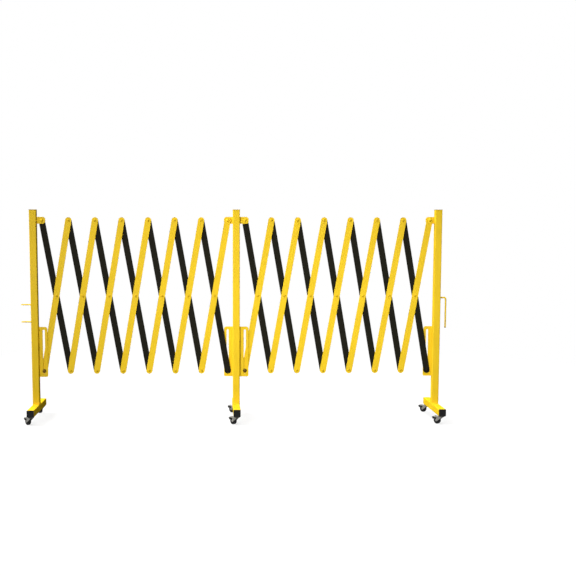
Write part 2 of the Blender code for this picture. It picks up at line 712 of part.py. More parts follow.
def add_slat(section, colour, number, origin, materials, parent, place, lean):
    """One slat with its origin on the pivot that carries it."""
    is_yellow = colour == "yellow"
    first_kind = "slot" if is_yellow else "lug"
    last_kind = "lug" if is_yellow else "slot"
    kind = {1: first_kind, CELLS: last_kind}.get(number, "")
    mesh = moved(slat(is_yellow, kind), Matrix.Translation((0, 0, -origin)))
    name = f"{section}_{colour}_slat_{number}"
    piece = add_piece(name, mesh, materials[colour], parent, place, Matrix.Rotation(lean, 4, "Y"))
    if kind == "slot":
        end_name = "outer" if is_yellow == (section == "left") else "inner"
        turn = Matrix.Identity(4) if is_yellow else HALF_TURN
        add_piece(f"{section}_{end_name}_slot_bolt", slot_bolt(), materials["dark_zinc"], piece,
                  (0, 0, -PIVOT_LENGTH / 2 - origin), turn)
    return piece


def add_section(section, middle_post, materials):
    """A lattice from the middle post outwards. Returns its last slat.

    Each cell's first slat hangs at its top and carries the second at their crossing. The
    second carries the next cell's first slat at its top. The lower pivots close the
    linkage and stay open here: rivet and hole meet by their places alone.
    """
    half = PIVOT_LENGTH / 2
    is_right = section == "right"
    side = 1 if is_right else -1
    hanging, crossing = ("black", "yellow") if is_right else ("yellow", "black")
    numbers = range(1, CELLS + 1) if is_right else range(CELLS, 0, -1)
    carrier = middle_post
    place = (side * END_PIVOT_REACH, 0, TOP_PIVOT_HEIGHT)
    lean = -side * FOLD_ANGLE
    for number in numbers:
        first = add_slat(section, hanging, number, half, materials, carrier, place, lean)
        carrier = add_slat(section, crossing, number, 0, materials, first,
                           (0, 0, -half), side * 2 * FOLD_ANGLE)
        place = (0, 0, half)
        lean = -side * 2 * FOLD_ANGLE
    return carrier


def add_barrier():
    """The whole barrier."""
    materials = {
        "yellow": coloured("yellow_paint", (0.83, 0.56, 0.03), 0.35, 0.0),
        "black": coloured("black_paint", (0.015, 0.014, 0.013), 0.4, 0.0),
        "plastic": coloured("black_plastic", (0.02, 0.02, 0.022), 0.5, 0.0),
        "tyre": coloured("wheel_rubber", (0.018, 0.018, 0.018), 0.7, 0.0),
        "zinc": coloured("zinc_plate", (0.42, 0.42, 0.40), 0.35, 0.9),
        "dark_zinc": coloured("dark_zinc_plate", (0.16, 0.13, 0.09), 0.4, 0.9),
    }
    shapes = {
        "cap": foot_cap(),
        "fork": castor_fork(),
        "wheel": castor_wheel(),
        "brake": castor_brake(),
    }
    middle_plates = right_side_plates() + left_side_plates()
    middle_post = add_post("middle", post_frame(*middle_plates), shapes, materials,
                           place=MIDDLE_POST_PLACE)
    outer_posts = (("left", -1, right_side_plates() + joining_tabs()),
                   ("right", 1, left_side_plates()))
    for name, side, plates in outer_posts:
        last_slat = add_section(name, middle_post, materials)
        # The post's axis lies one lug reach past the last pivot, on the slat's slant
        upright = Matrix.Rotation(-side * FOLD_ANGLE, 4, "Y")
        top_pivot = Vector((0, 0, PIVOT_LENGTH / 2))
        place = top_pivot + upright @ Vector((side * END_PIVOT_REACH, 0, -TOP_PIVOT_HEIGHT))
        post = add_post(name, post_frame(*plates), shapes, materials, last_slat, place, upright)
        if name == "right":
            add_piece("hook_rod", hook_rod(), materials["yellow"], post)


def main():
    for leftover in list(bpy.data.objects):
        bpy.data.objects.remove(leftover)
    bpy.context.scene.collection.children.link(bpy.data.collections.new(COLLECTION_NAME))
    add_barrier()
    bpy.context.view_layer.update()


main()
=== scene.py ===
"""Expandable safety barrier: its detailed pieces, painted finishes and studio.

Lengths are in metres. +X runs along the barrier to the right, -Y faces the viewer and
+Z is up. Each shape is modelled about its own origin, and set out by the places that
the frame's joints give.
"""

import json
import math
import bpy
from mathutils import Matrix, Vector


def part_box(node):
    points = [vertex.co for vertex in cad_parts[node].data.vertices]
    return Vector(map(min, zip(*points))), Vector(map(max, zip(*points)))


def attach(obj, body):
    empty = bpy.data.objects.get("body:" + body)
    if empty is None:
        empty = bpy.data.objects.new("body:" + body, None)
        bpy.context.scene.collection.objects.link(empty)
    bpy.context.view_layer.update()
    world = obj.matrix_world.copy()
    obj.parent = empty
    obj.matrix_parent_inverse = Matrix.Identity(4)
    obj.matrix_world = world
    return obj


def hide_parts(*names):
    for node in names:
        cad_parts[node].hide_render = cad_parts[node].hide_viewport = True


bl_info = {
    "name": "Expandable Safety Barrier",
    "version": (1, 0, 0),
    "blender": (4, 5, 0),
    "location": "View3D > Sidebar > Barrier",
    "description": "Builds the lattices, posts, castors and finishes of a wheeled expandable barrier",
    "category": "Add Mesh",
}

from contextlib import contextmanager

import bmesh
import bpy
from bpy.props import FloatProperty, FloatVectorProperty, PointerProperty
from mathutils import Matrix, Vector

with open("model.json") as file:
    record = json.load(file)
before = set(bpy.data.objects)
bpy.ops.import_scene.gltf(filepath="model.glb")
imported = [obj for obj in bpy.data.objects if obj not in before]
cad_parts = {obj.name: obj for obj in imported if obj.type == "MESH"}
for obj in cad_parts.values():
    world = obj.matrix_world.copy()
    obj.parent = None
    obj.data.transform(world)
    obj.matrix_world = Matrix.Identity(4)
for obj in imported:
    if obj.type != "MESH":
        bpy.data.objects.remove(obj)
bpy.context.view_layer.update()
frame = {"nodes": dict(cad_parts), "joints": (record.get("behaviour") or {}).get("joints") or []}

IMAGE_SIDE = 576
# In millimetres, as Blender's cameras take it
SENSOR_WIDTH = 36

POSTS = ("left", "middle", "right")
ENDS = ("front", "rear")
SECTIONS = ("left", "right")
WAYS = (-1, 1)
JOINTS = {joint["name"]: joint for joint in frame["joints"]}
CELLS = len([node for node in frame["nodes"] if node.startswith("left_yellow_slat_")])
EACH_CELL = range(1, CELLS + 1)
MIDDLE_CELL = (CELLS + 1) // 2

# A shape modelled along Z stands with its top towards the viewer, or points to the right
RIGHT_ANGLE = math.radians(90)
TO_VIEWER = Matrix.Rotation(RIGHT_ANGLE, 4, "X")
TO_RIGHT = Matrix.Rotation(RIGHT_ANGLE, 4, "Y")
HALF_TURN = Matrix.Rotation(2 * RIGHT_ANGLE, 4, "Z")
AS_IT_IS = Matrix.Identity(4)
AXES = {"X": 0, "Y": 1, "Z": 2}

NEAR = 0.00002
ALIGNED = 0.999
MERGE_DISTANCE = 0.00001
FLAT_ANGLE = math.radians(0.4)
SMOOTH_ANGLE = math.radians(38)
SOFTEN_ANGLE = math.radians(32)

# A plate's, washer's, rod's or pedal's small rounding, as a share of its thickness or radius
EDGE_SHARE = 0.2
CORNER_STEPS = 6
# A dome's steps, and the flat left at its crown as a share of a step
DOME_STEPS = 6
DOME_FLAT_SHARE = 0.4


# Kinds of settings

def metres(name, description, default):
    """A length."""
    return FloatProperty(name=name, description=description, default=default,
                         min=0, precision=4, unit="LENGTH")


def point(name, description, default):
    """A place, or a few heights."""
    return FloatVectorProperty(name=name, description=description, default=default,
                               size=len(default), precision=4, unit="LENGTH")


def degrees(name, description, default):
    """An angle, given here in degrees."""
    return FloatProperty(name=name, description=description, default=math.radians(default),
                         subtype="ANGLE")


def watts(name, description, default):
    """A lamp's power."""
    return FloatProperty(name=name, description=description, default=default, min=0, unit="POWER")


def amount(name, description, default):
    """A lightness, a strength or a share."""
    return FloatProperty(name=name, description=description, default=default, min=0, precision=4)


def tone(name, description, default):
    """A colour."""
    return FloatVectorProperty(name=name, description=description, default=default,
                               size=3, min=0, max=1, subtype="COLOR")


# Settings

class LatticeSettings(bpy.types.PropertyGroup):
    slat_width: metres("Slat width", "Width of each flat slat", 0.031)
    slat_thickness: metres("Slat thickness", "Thickness of each flat slat", 0.003)
    layer_gap: metres("Layer gap", "Space between the yellow and the black layer", 0.0003)
    slat_edge: metres("Slat edge", "Rounding of the slats' sheared edges", 0.0005)
    shank_radius: metres("Rivet shank", "Radius of the rivets' shanks", 0.004)
    head_radius: metres("Rivet head", "Radius of the rivets' domed heads", 0.0064)
    head_height: metres("Head height", "Height of the rivets' domed heads", 0.0034)
    tail_radius: metres("Rivet tail", "Radius of the rivets' pressed tails", 0.0062)
    tail_height: metres("Tail height", "Height of the rivets' pressed tails", 0.0016)
    lug_head_radius: metres("Lug rivet head", "Radius of the domed heads at the lugs", 0.008)
    lug_head_height: metres("Lug head height", "Height of the domed heads at the lugs", 0.0062)
    spacer_radius: metres("Spacer", "Radius of the spacers under the lugs", 0.008)


class BoltSettings(bpy.types.PropertyGroup):
    shank_radius: metres("Shank", "Radius of the slot bolts", 0.0045)
    dome_height: metres("Dome height", "Height of the domes that close the nuts", 0.0038)
    head_radius: metres("Head", "Radius of the slot bolts' domed heads", 0.008)
    head_height: metres("Head height", "Height of the slot bolts' domed heads", 0.003)
    washer_radius: metres("Washer", "Radius of the washers on the slotted brackets", 0.0098)
    washer_thickness: metres("Washer thickness", "Thickness of the washers", 0.0015)
    nut_radius: metres("Nut", "Radius of the nuts over their corners", 0.0079)
    nut_height: metres("Nut height", "Height of the nuts' six-sided part", 0.0037)


class PostSettings(bpy.types.PropertyGroup):
    tube_side: metres("Tube side", "Outer side of the square tube", 0.035)
    tube_wall: metres("Tube wall", "Wall of the square tube", 0.002)
    tube_corner: metres("Tube corner", "Outer corner radius of the square tube", 0.0035)
    foot_length: metres("Foot length", "Length of each foot tube", 0.378)
    foot_clearance: metres("Foot clearance", "Height of the foot tubes over the floor", 0.042)
    weld_depth: metres("Weld depth", "Depth that the uprights sink into the feet", 0.0015)
    cap_plate: metres("Cap plate", "Thickness of the plate on top of each upright", 0.0027)
    cap_plate_rim: metres("Cap plate rim", "Distance that the cap plate stands past the tube", 0.0007)
    cap_gap: metres("Cap gap", "Gap between a foot tube and its plastic cap", 0.0003)
    cap_flange: metres("Cap flange", "Thickness of the plastic cap outside the tube", 0.004)
    cap_crown: metres("Cap crown", "Rounding of the plastic cap's outer rim", 0.0014)
    plug_wall: metres("Plug wall", "Wall of the cap's hollow plug", 0.0025)
    plug_depth: metres("Plug depth", "Depth of the cap's plug in the tube", 0.007)
    weld_radius: metres("Weld bead", "Radius of the weld beads", 0.0021)
    weld_ripple: metres("Weld ripple", "Distance between the ripples of a weld bead", 0.0019)


class PlateSettings(bpy.types.PropertyGroup):
    thickness: metres("Thickness", "Thickness of the lugs and slotted brackets", 0.003)
    run_gap: metres("Running gap", "Gap between a plate and the slats that pass it", 0.0005)
    reach: metres("Reach", "Distance of the plates' free edge from the post's axis", 0.0615)
    seat: metres("Seat", "Depth that the plates and tabs sink into the post", 0.0006)
    bend_radius: metres("Bend radius", "Inner radius of the bend", 0.0015)
    flange_length: metres("Flange length", "Length of the flange that is welded to the post", 0.019)
    pivot_reach: metres("Pivot reach", "Distance of the lattice's end pivots from the post's axis", 0.043)
    lug_height: metres("Lug height", "Height of the upper lugs", 0.034)
    lug_corner: metres("Lug corner", "Rounding of the lugs' free corners", 0.013)
    bracket_corner: metres("Bracket corner", "Rounding of the brackets' lower free corners", 0.007)
    bracket_top_corner: metres("Bracket top corner", "Rounding of the brackets' upper free corners", 0.012)
    slot_half_width: metres("Slot half width", "Half the width of the slot", 0.0053)
    slot_margin: metres("Slot margin", "Plate left above and below the slot", 0.014)
    closed_angle: degrees("Closed angle", "Lean of the slats when the barrier is folded", 2.5)
    open_angle: degrees("Open angle", "Lean of the slats when the barrier is fully open", 44)
    edge: metres("Plate edge", "Rounding of the plates' cut edges", 0.0004)


class JoiningSettings(bpy.types.PropertyGroup):
    rod_radius: metres("Rod", "Radius of the hook rod", 0.004)
    rod_reach: metres("Rod reach", "Distance of the rod and the tabs' holes from the post's axis", 0.0463)
    rod_top: metres("Rod top", "Height of the rod's level arm", 0.6126)
    rod_end: metres("Rod end", "Height of the rod's free end", 0.4604)
    rod_bend: metres("Rod bend", "Radius of the rod's bend at its axis", 0.009)
    tab_reach: metres("Tab reach", "Distance of the tabs' free end from the post's axis", 0.067)
    tab_width: metres("Tab width", "Width of the joining tabs", 0.034)
    tab_corner: metres("Tab corner", "Rounding of the tabs' free corners", 0.013)
    tab_thickness: metres("Tab thickness", "Thickness of the joining tabs", 0.004)
    tab_hole: metres("Tab hole", "Radius of the tabs' holes", 0.0054)
    tab_heights: point("Tab heights", "Heights of the upper and the lower tab", (0.5795, 0.4935))


class CastorSettings(bpy.types.PropertyGroup):
    trail: metres("Trail", "Distance of the axle from the swivel's axis", 0.024)
    wheel_radius: metres("Wheel", "Radius of the wheels", 0.0175)
    wheel_width: metres("Wheel width", "Width of the wheels", 0.013)
    hub_radius: metres("Hub", "Radius of the hub that the tyre is moulded on", 0.0128)
    axle_radius: metres("Axle", "Radius of the axles", 0.0025)
    axle_end: metres("Axle end", "Distance that the axles stand out of the fork", 0.0012)
    fork_wall: metres("Fork wall", "Thickness of the pressed fork", 0.002)
    crown_wall: metres("Crown wall", "Thickness of the fork's crown over the wheel", 0.0015)
    crown_end: metres("Crown end", "Distance of the crown's rear edge from the swivel's axis", 0.030)
    fork_side_gap: metres("Fork side gap", "Gap between the wheel and the fork's legs", 0.0007)
    fork_eye: metres("Fork eye", "Radius of the legs' ends round the axle", 0.0052)
    fork_shoulder: metres("Fork shoulder", "Reach of the legs' front shoulder from the swivel's axis", 0.016)
    fork_back: metres("Fork back", "Distance that the legs reach behind the swivel's axis", 0.001)
    fork_back_radius: metres("Fork back corner", "Rounding of the legs' rear corners", 0.003)
    head_gap: metres("Head gap", "Gap between the swivel head and the foot tube", 0.0003)
    head_radius: metres("Head", "Radius of the swivel head", 0.0155)
    head_lower_radius: metres("Head foot", "Radius of the swivel head's lower cup", 0.0125)
    head_height: metres("Head height", "Height of the swivel head", 0.0052)
    stem_radius: metres("Stem", "Radius of the stem in the foot tube", 0.004)
    stem_nut_radius: metres("Stem nut", "Radius of the stem's nut over its corners", 0.0065)
    stem_nut_height: metres("Stem nut height", "Height of the stem's thread, nut and all", 0.0055)
    pin_radius: metres("Brake pin", "Radius of the pin that the brake pedal turns on", 0.0015)
    pedal_hub: metres("Pedal hub", "Radius of the pedal round its pin", 0.0033)
    shoe_radius: metres("Brake shoe", "Radius of the pedal's shoe behind the wheel", 0.0012)
    shoe_distance: metres("Shoe distance", "Distance of the shoe from the axle", 0.0216)
    shoe_angle: degrees("Shoe angle", "Direction of the shoe from the axle", 15)
    tip_radius: metres("Pedal tip", "Radius of the pedal's tip", 0.001)
    tip_distance: metres("Tip distance", "Distance of the pedal's tip from the axle", 0.030)
    tip_angle: degrees("Tip angle", "Direction of the pedal's tip from the axle", 28)


class FinishSettings(bpy.types.PropertyGroup):
    yellow: tone("Yellow paint", "Colour of the yellow powder coat", (0.86, 0.575, 0.019))
    # The rivets' darker yellow is painted shade: it stands in for the shade on the lower side of the crossing
    # rivets' domes
    rivet_shade_yellow: tone("Rivet shade", "Colour of the crossing rivets, darkened as painted shade", (0.66, 0.42, 0.012))
    # The cap plates' edge colour is painted shade: a dark yellow that stands in for the shadow under the
    # plates' rim
    cap_edge_shade_yellow: tone("Cap edge shade", "Colour of the painted shade along the cap plates' edges", (0.3, 0.2, 0.03))
    black: tone("Black paint", "Colour of the black powder coat", (0.0115, 0.0105, 0.0065))
    plastic: tone("Black plastic", "Colour of the moulded caps, hubs and pedals", (0.006, 0.006, 0.0063))
    rubber: tone("Tyre rubber", "Colour of the castors' tyres", (0.014, 0.014, 0.014))
    zinc: tone("Zinc plate", "Colour of the castors' zinc plate", (0.21, 0.205, 0.19))
    zinc_tint: tone("Zinc tint", "Tint in the castors' zinc plate", (0.26, 0.25, 0.215))
    # The swivel heads' dark zinc is painted shade: the same zinc as the forks, darkened for the shadow under
    # the foot tubes
    head_shade_zinc: tone("Head shade zinc", "Colour of the castors' swivel heads, darkened as painted shade", (0.07, 0.068, 0.055))
    head_shade_tint: tone("Head shade tint", "Tint in the swivel heads' zinc", (0.09, 0.085, 0.065))
    dark_zinc: tone("Dark zinc", "Colour of the bolts' dark passivated zinc", (0.105, 0.06, 0.006))
    dark_tint: tone("Dark zinc tint", "Tint in the bolts' dark zinc", (0.15, 0.083, 0.008))


class StudioSettings(bpy.types.PropertyGroup):
    floor_side: metres("Floor side", "Side of the square floor", 60)
    floor_tone: amount("Floor tone", "Lightness of the pale floor", 0.8)
    floor_bounce: amount("Floor bounce", "Lightness of the floor for the light that it throws back", 0.08)
    floor_white: amount("Floor white", "Share of plain white in the floor as it is seen", 0.72)
    shadow_reach: metres("Shadow reach", "Distance within which the floor keeps its shadow", 1.7)
    fill: amount("Fill light", "Light that comes from all round", 0.05)
    lamp_size: metres("Lamp size", "Side of both square lamps", 0.9)
    key_power: watts("Key light", "Power of the lamp at the viewer's left", 12.7)
    key_beam: degrees("Key beam", "Angle of the key lamp's beam", 60)
    key_place: point("Key place", "Where the key lamp stands", (-1.9, -3, 1.2))
    key_target: point("Key target", "Where the key lamp points", (0.12, 0, 0.55))
    right_power: watts("Right light", "Power of the lamp before the right section", 2.65)
    right_beam: degrees("Right beam", "Angle of the right lamp's beam", 50)
    right_place: point("Right place", "Where the right lamp stands", (1, -2.6, 1.2))
    right_target: point("Right target", "Where the right lamp points", (0.75, 0, 0.5))
    side_strength: amount("Side light", "Strength of the light from above the left end", 3.3)
    side_place: point("Side place", "Where the side light comes from", (-3, 0, 3))
    top_strength: amount("Top light", "Strength of the light from above", 1.45)
    top_place: point("Top place", "Where the top light comes from", (0, -0.3, 3))
    back_strength: amount("Back light", "Strength of the light on the barrier's rear side", 2.1)
    back_place: point("Back place", "Where the back light comes from", (0, 3, 2.6))
    far_angle: degrees("Far softness", "Angle that the side, the top and the back light cover", 40)
    camera_place: point("Camera place", "Where the camera stands", (-0.10535, -5.180952, 0.9277))
    camera_tilt: degrees("Camera tilt", "Angle of the view below the horizon", 6.217)
    camera_turn: degrees("Camera turn", "Angle of the view to the right of +Y", 1.083)
    focal_pixels: amount("Focal length", "Focal length for the square picture, in its pixels", 1034.83)
    shift_right: amount("Shift right", "Camera's shift to the right, in picture widths", 0.09535)
    shift_up: amount("Shift up", "Camera's shift upwards, in picture widths", 0.10266)


def settings(group):
    """One group of the barrier's settings."""
    return getattr(bpy.context.scene, f"barrier_{group}")


# Modelling by hand

def clear_selection():
    """Leave edit mode with nothing selected."""
    if bpy.context.object and bpy.context.object.mode != "OBJECT":
        bpy.ops.object.mode_set(mode="OBJECT")
    bpy.ops.object.select_all(action="DESELECT")


def make_active(piece):
    """Select one piece alone."""
    clear_selection()
    piece.select_set(True)
    bpy.context.view_layer.objects.active = piece


@contextmanager
def edit_mode(piece):
    """Work in a piece's edit mode, with all of it selected at first."""
    make_active(piece)
    bpy.ops.object.mode_set(mode="EDIT")
    bpy.ops.mesh.select_all(action="SELECT")
    yield
    bpy.ops.object.mode_set(mode="OBJECT")


def pick(kind, test):
    """Select the vertices, edges or faces that pass a test, and nothing else."""
    bpy.ops.mesh.select_mode(type=kind)
    bpy.ops.mesh.select_all(action="DESELECT")
    data = bpy.context.edit_object.data
    shape = bmesh.from_edit_mesh(data)
    parts = {"VERT": shape.verts, "EDGE": shape.edges, "FACE": shape.faces}[kind]
    for part in parts:
        part.select_set(bool(test(part)))
    shape.select_flush_mode()
    bmesh.update_edit_mesh(data, loop_triangles=False, destructive=False)


def round_edges(offset, steps, test):
    """Round the edges that pass a test, in edit mode."""
    pick("EDGE", test)
    bpy.ops.mesh.bevel(offset=offset, segments=steps, affect="EDGES")


def lies_at(part, **places):
    """Whether all of an edge or face lies at the given coordinates."""
    return all(abs(vertex.co[AXES[axis]] - place) < NEAR
               for vertex in part.verts for axis, place in places.items())


def runs_along(edge, axis):
    """Whether an edge runs along an axis."""
    span = edge.verts[1].co - edge.verts[0].co
    return abs(span[AXES[axis]]) > ALIGNED * span.length


def faces_along(face, axis, way):
    """Whether a face looks along an axis, with way 1 or -1 for the side."""
    return face.normal[AXES[axis]] * way > ALIGNED


def point_outwards():
    """Merge what coincides and turn every face outwards, in edit mode."""
    bpy.ops.mesh.select_all(action="SELECT")
    bpy.ops.mesh.remove_doubles(threshold=MERGE_DISTANCE)
    bpy.ops.mesh.normals_make_consistent(inside=False)


def extrude(x=0, y=0, z=0):
    """Extrude the selection by a distance."""
    bpy.ops.mesh.extrude_region_move(TRANSFORM_OT_translate={"value": (x, y, z)})


def narrow(share, centre):
    """Draw the selection in towards a centre, along X and Y."""
    bpy.ops.transform.resize(value=(share, share, 1), center_override=centre)


def step_in(share, centre):
    """Draw a smaller face within the selected one, about a centre."""
    extrude()
    bpy.ops.transform.resize(value=(share, share, share), constraint_axis=(True, False, True),
                             center_override=centre)


def new_piece():
    """The shape that was added last, with its place and turn taken into its mesh."""
    bpy.ops.object.transform_apply(location=True, rotation=True, scale=True)
    return bpy.context.object


def new_box(low, high):
    """A box between two corners."""
    low = Vector(low)
    high = Vector(high)
    clear_selection()
    bpy.ops.mesh.primitive_cube_add(size=1, location=(low + high) / 2)
    bpy.context.object.scale = high - low
    return new_piece()


def new_band(rounds, thickness, sides, middle=0):
    """A plate in X and Z whose outline is a taut band round (x, z, radius) rounds."""

    def add_round(x, z, radius):
        bpy.ops.mesh.primitive_cylinder_add(vertices=sides, radius=radius, depth=thickness,
                                            location=(x, middle, z), rotation=(RIGHT_ANGLE, 0, 0))

    clear_selection()
    add_round(*rounds[0])
    piece = new_piece()
    with edit_mode(piece):
        for other in rounds[1:]:
            add_round(*other)
        bpy.ops.mesh.select_all(action="SELECT")
        bpy.ops.mesh.convex_hull()
        bpy.ops.mesh.select_all(action="SELECT")
        bpy.ops.mesh.dissolve_limited(angle_limit=FLAT_ANGLE)
        point_outwards()
    return piece


def new_turned(profile, sides, is_ring=False):
    """A shape turned round Z, extruded ring by ring through (radius, height) steps."""
    clear_selection()
    (radius, height), *steps = profile
    bpy.ops.mesh.primitive_circle_add(vertices=sides, radius=radius, location=(0, 0, height),
                                      fill_type="NOTHING" if is_ring else "NGON")
    piece = new_piece()
    with edit_mode(piece):
        if is_ring:
            steps.append(profile[0])
            bpy.ops.mesh.select_mode(type="EDGE")
            bpy.ops.mesh.select_all(action="SELECT")
        for next_radius, next_height in steps:
            extrude(z=next_height - height)
            narrow(next_radius / radius, (0, 0, next_height))
            radius = next_radius
            height = next_height
        point_outwards()
    return piece


def put_away(*patterns):
    """Remove shapes that are no longer needed."""
    for pattern in patterns:
        data = pattern.data
        bpy.data.objects.remove(pattern)
        bpy.data.meshes.remove(data)


def apply_change(piece, kind, **fields):
    """Put a modifier on a piece and apply it."""
    make_active(piece)
    change = piece.modifiers.new("change", kind)
    for field, value in fields.items():
        setattr(change, field, value)
    bpy.ops.object.modifier_apply(modifier=change.name)
    return piece


def use_tool(piece, tool, operation="DIFFERENCE"):
    """Cut, join or intersect one piece with another, which is then removed."""
    apply_change(piece, "BOOLEAN", operation=operation, solver="EXACT", object=tool)
    put_away(tool)
    return piece


def soften(piece, width):
    """Round a piece's sharp edges."""
    return apply_change(piece, "BEVEL", width=width, segments=2, limit_method="ANGLE",
                        angle_limit=SOFTEN_ANGLE)


def shade(piece):
    """Smooth shading with sharp edges kept, and with the large flat faces kept flat."""
    make_active(piece)
    bpy.ops.object.shade_smooth_by_angle(angle=SMOOTH_ANGLE)
    return apply_change(piece, "WEIGHTED_NORMAL", keep_sharp=True, weight=100)


def move(piece, matrix):
    """Move or turn a shape within its mesh."""
    piece.data.transform(matrix)
    return piece


def shift(x=0, y=0, z=0):
    """A move by a distance, as a matrix."""
    return Matrix.Translation((x, y, z))


def drill(piece, radius, low, high, sides, place):
    """Drill a hole that runs along Z between two heights before it is placed."""
    bit = move(new_turned([(radius, low), (radius, high)], sides), place)
    return use_tool(piece, bit)


def join_pieces(piece, *others):
    """Join several objects into one and shade it."""
    make_active(piece)
    for other in others:
        other.select_set(True)
    bpy.ops.object.join()
    return shade(piece)


def profile_from(shares, radius, length, start):
    """A profile from shares of a radius, and of a length beyond a starting height."""
    return [(radius * wide, start + length * along) for wide, along in shares]


def turned_over(profile):
    """A profile's mirror image in Z = 0, in the opposite order."""
    return [(radius, -height) for radius, height in reversed(profile)]


def dome(radius, seat, height):
    """Profile of a domed head from its crown down to its rim."""
    points = []
    for step in range(1, DOME_STEPS + 1):
        turn = RIGHT_ANGLE * (1 - step / (DOME_STEPS + DOME_FLAT_SHARE))
        points.append((radius * math.cos(turn), seat + height * math.sin(turn)))
    points.append((radius, seat))
    return points


def set_out(pattern, name, place, body, *nodes, coat):
    """A finished copy of a shape with its own mesh, in its place on a body."""
    finish, slot = coat
    piece = pattern.copy()
    piece.data = pattern.data.copy()
    piece.name = name
    piece.data.name = name
    piece.data.transform(place)
    piece.data.materials.clear()
    piece.data.materials.append(bpy.data.materials[finish])
    bpy.context.scene.collection.objects.link(piece)
    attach(piece, body)
    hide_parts(*nodes)


def set_out_all(patterns, spots):
    """Set out every (shape, coat) at every (name, place, body, node), and put the shapes away."""
    for name, place, body, node in spots:
        for kind, (pattern, coat) in patterns.items():
            set_out(pattern, f"{name}_{kind}", place, body, node, coat=coat)
    put_away(*[pattern for pattern, _ in patterns.values()])


# Places that the frame gives

def joint_place(name):
    """Where a joint's axis is at rest."""
    return Vector(JOINTS[name]["pos_m"])


def post_place(post):
    """Where a post's axis meets the floor."""
    middle = (joint_place(f"{post}_front_castor_swivel") + joint_place(f"{post}_rear_castor_swivel")) / 2
    return shift(middle.x, middle.y)


def post_top():
    """Height of the posts' tops."""
    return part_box("middle_post")[1].z


def top_pivot():
    """Height of the pivots on the lugs."""
    return joint_place("right_inner_post_pivot").z


def crossing(section, cell):
    """Where two slats of a cell cross at their middles."""
    name = f"{section}_fold" if cell == MIDDLE_CELL else f"{section}_centre_pivot_{cell}"
    return joint_place(name)


def lattice_half(section):
    """Half of a slat between its end pivots, as a run along X and a rise."""
    run = (crossing(section, 2).x - crossing(section, 1).x) / 2
    rise = joint_place(f"{section}_inner_post_pivot").z - crossing(section, 1).z
    return Vector((run, rise))


def half_slat():
    """Distance of a slat's end pivots from its middle."""
    return lattice_half("right").length


def slat_place(section, colour, cell):
    """Where a slat lies, modelled along Z about its middle pivot."""
    half = lattice_half(section)
    lean = math.atan2(half.x, half.y) * (1 if colour == "yellow" else -1)
    return Matrix.Translation(crossing(section, cell)) @ Matrix.Rotation(lean, 4, "Y")


def slat_node(section, colour, cell):
    """A slat's node, which is also its body."""
    return f"{section}_{colour}_slat_{cell}"


def bolt_node(section, colour):
    """The slot bolt on a section's first yellow or last black slat."""
    is_outer = (colour == "yellow") == (section == "left")
    return f"{section}_{'outer' if is_outer else 'inner'}_slot_bolt"


def castor_place(post, end):
    """Where a castor stands, its fork pointing along the shape's X."""
    stem = joint_place(f"{post}_{end}_castor_swivel")
    axle = joint_place(f"{post}_{end}_castor_roll")
    turn = math.atan2(axle.y - stem.y, axle.x - stem.x)
    return shift(stem.x, stem.y) @ Matrix.Rotation(turn, 4, "Z")


def plate_faces():
    """Distances of a plate's near and far face from the plane between the layers."""
    slats = settings("lattice")
    plates = settings("plates")
    near = slats.slat_thickness + slats.layer_gap / 2 + plates.run_gap
    return near, near + plates.thickness


# Finishes, each with the material slot of its pieces

YELLOW = ("yellow_powder_coat", "yellow_paint")
# Painted shade: the crossing rivets are darker than the yellow they are painted with
SHADED_RIVET_YELLOW = ("rivet_painted_shade", "yellow_paint")
# Painted shade: the cap plates' edges are darkened as if in the shadow under their rim
CAP_EDGE_SHADE = ("cap_edge_painted_shade", "yellow_paint")
BLACK = ("black_powder_coat", "black_paint")
PLASTIC = ("moulded_black_plastic", "black_plastic")
HUB_PLASTIC = ("moulded_black_plastic", "wheel_rubber")
RUBBER = ("tyre_rubber", "wheel_rubber")
ZINC = ("zinc_plated_steel", "zinc_plate")
# Painted shade: the swivel heads are the forks' zinc, darkened for the shadow under the foot tubes
SHADED_HEAD_ZINC = ("swivel_head_painted_shade", "zinc_plate")
DARK_ZINC = ("dark_passivated_zinc", "dark_zinc_plate")
# Distance below the posts' tops down to which the cap plates keep the full yellow, and the height over which
# they turn to the painted shade of their edges
EDGE_SHADE_TOP = 0.0003
EDGE_SHADE_FADE = 0.0002


def add_node(tree, kind, place, sockets=None, **fields):
    """A shader node at a place in the editor, with its fields, socket values and links."""
    node = tree.nodes.new(kind)
    node.location = place
    for field, value in fields.items():
        setattr(node, field, value)
    fill_sockets(tree, node, sockets or {})
    return node


def fill_sockets(tree, node, sockets):
    """Give a node's sockets plain values, or link them to other nodes' outputs."""
    for socket, value in sockets.items():
        if isinstance(value, bpy.types.NodeSocket):
            tree.links.new(value, node.inputs[socket])
        else:
            node.inputs[socket].default_value = value


def new_finish(name, metallic=0, specular=0.5):
    """A material's nodes, its shader, and the object's coordinates for its patterns."""
    material = bpy.data.materials.new(name)
    material.use_nodes = True
    tree = material.node_tree
    shader = tree.nodes["Principled BSDF"]
    fill_sockets(tree, shader, {"Metallic": metallic, "Specular IOR Level": specular})
    place = add_node(tree, "ShaderNodeTexCoord", (-1100, 0))
    return tree, shader, place.outputs["Object"]


def noise(tree, place, y, scale, detail=2):
    """A noise pattern of a given scale."""
    pattern = add_node(tree, "ShaderNodeTexNoise", (-880, y),
                       {"Vector": place, "Scale": scale, "Detail": detail})
    return pattern.outputs["Fac"]


def tinted(tree, shader, pattern, colours):
    """Lead a pattern through a ramp of (position, colour) stops to the base colour."""
    ramp = add_node(tree, "ShaderNodeValToRGB", (-560, 200), {"Fac": pattern})
    stops = ramp.color_ramp.elements
    while len(stops) < len(colours):
        stops.new(0.5)
    for stop, (position, colour) in zip(stops, colours):
        stop.position = position
        stop.color = (*colour, 1)
    fill_sockets(tree, shader, {"Base Color": ramp.outputs["Color"]})


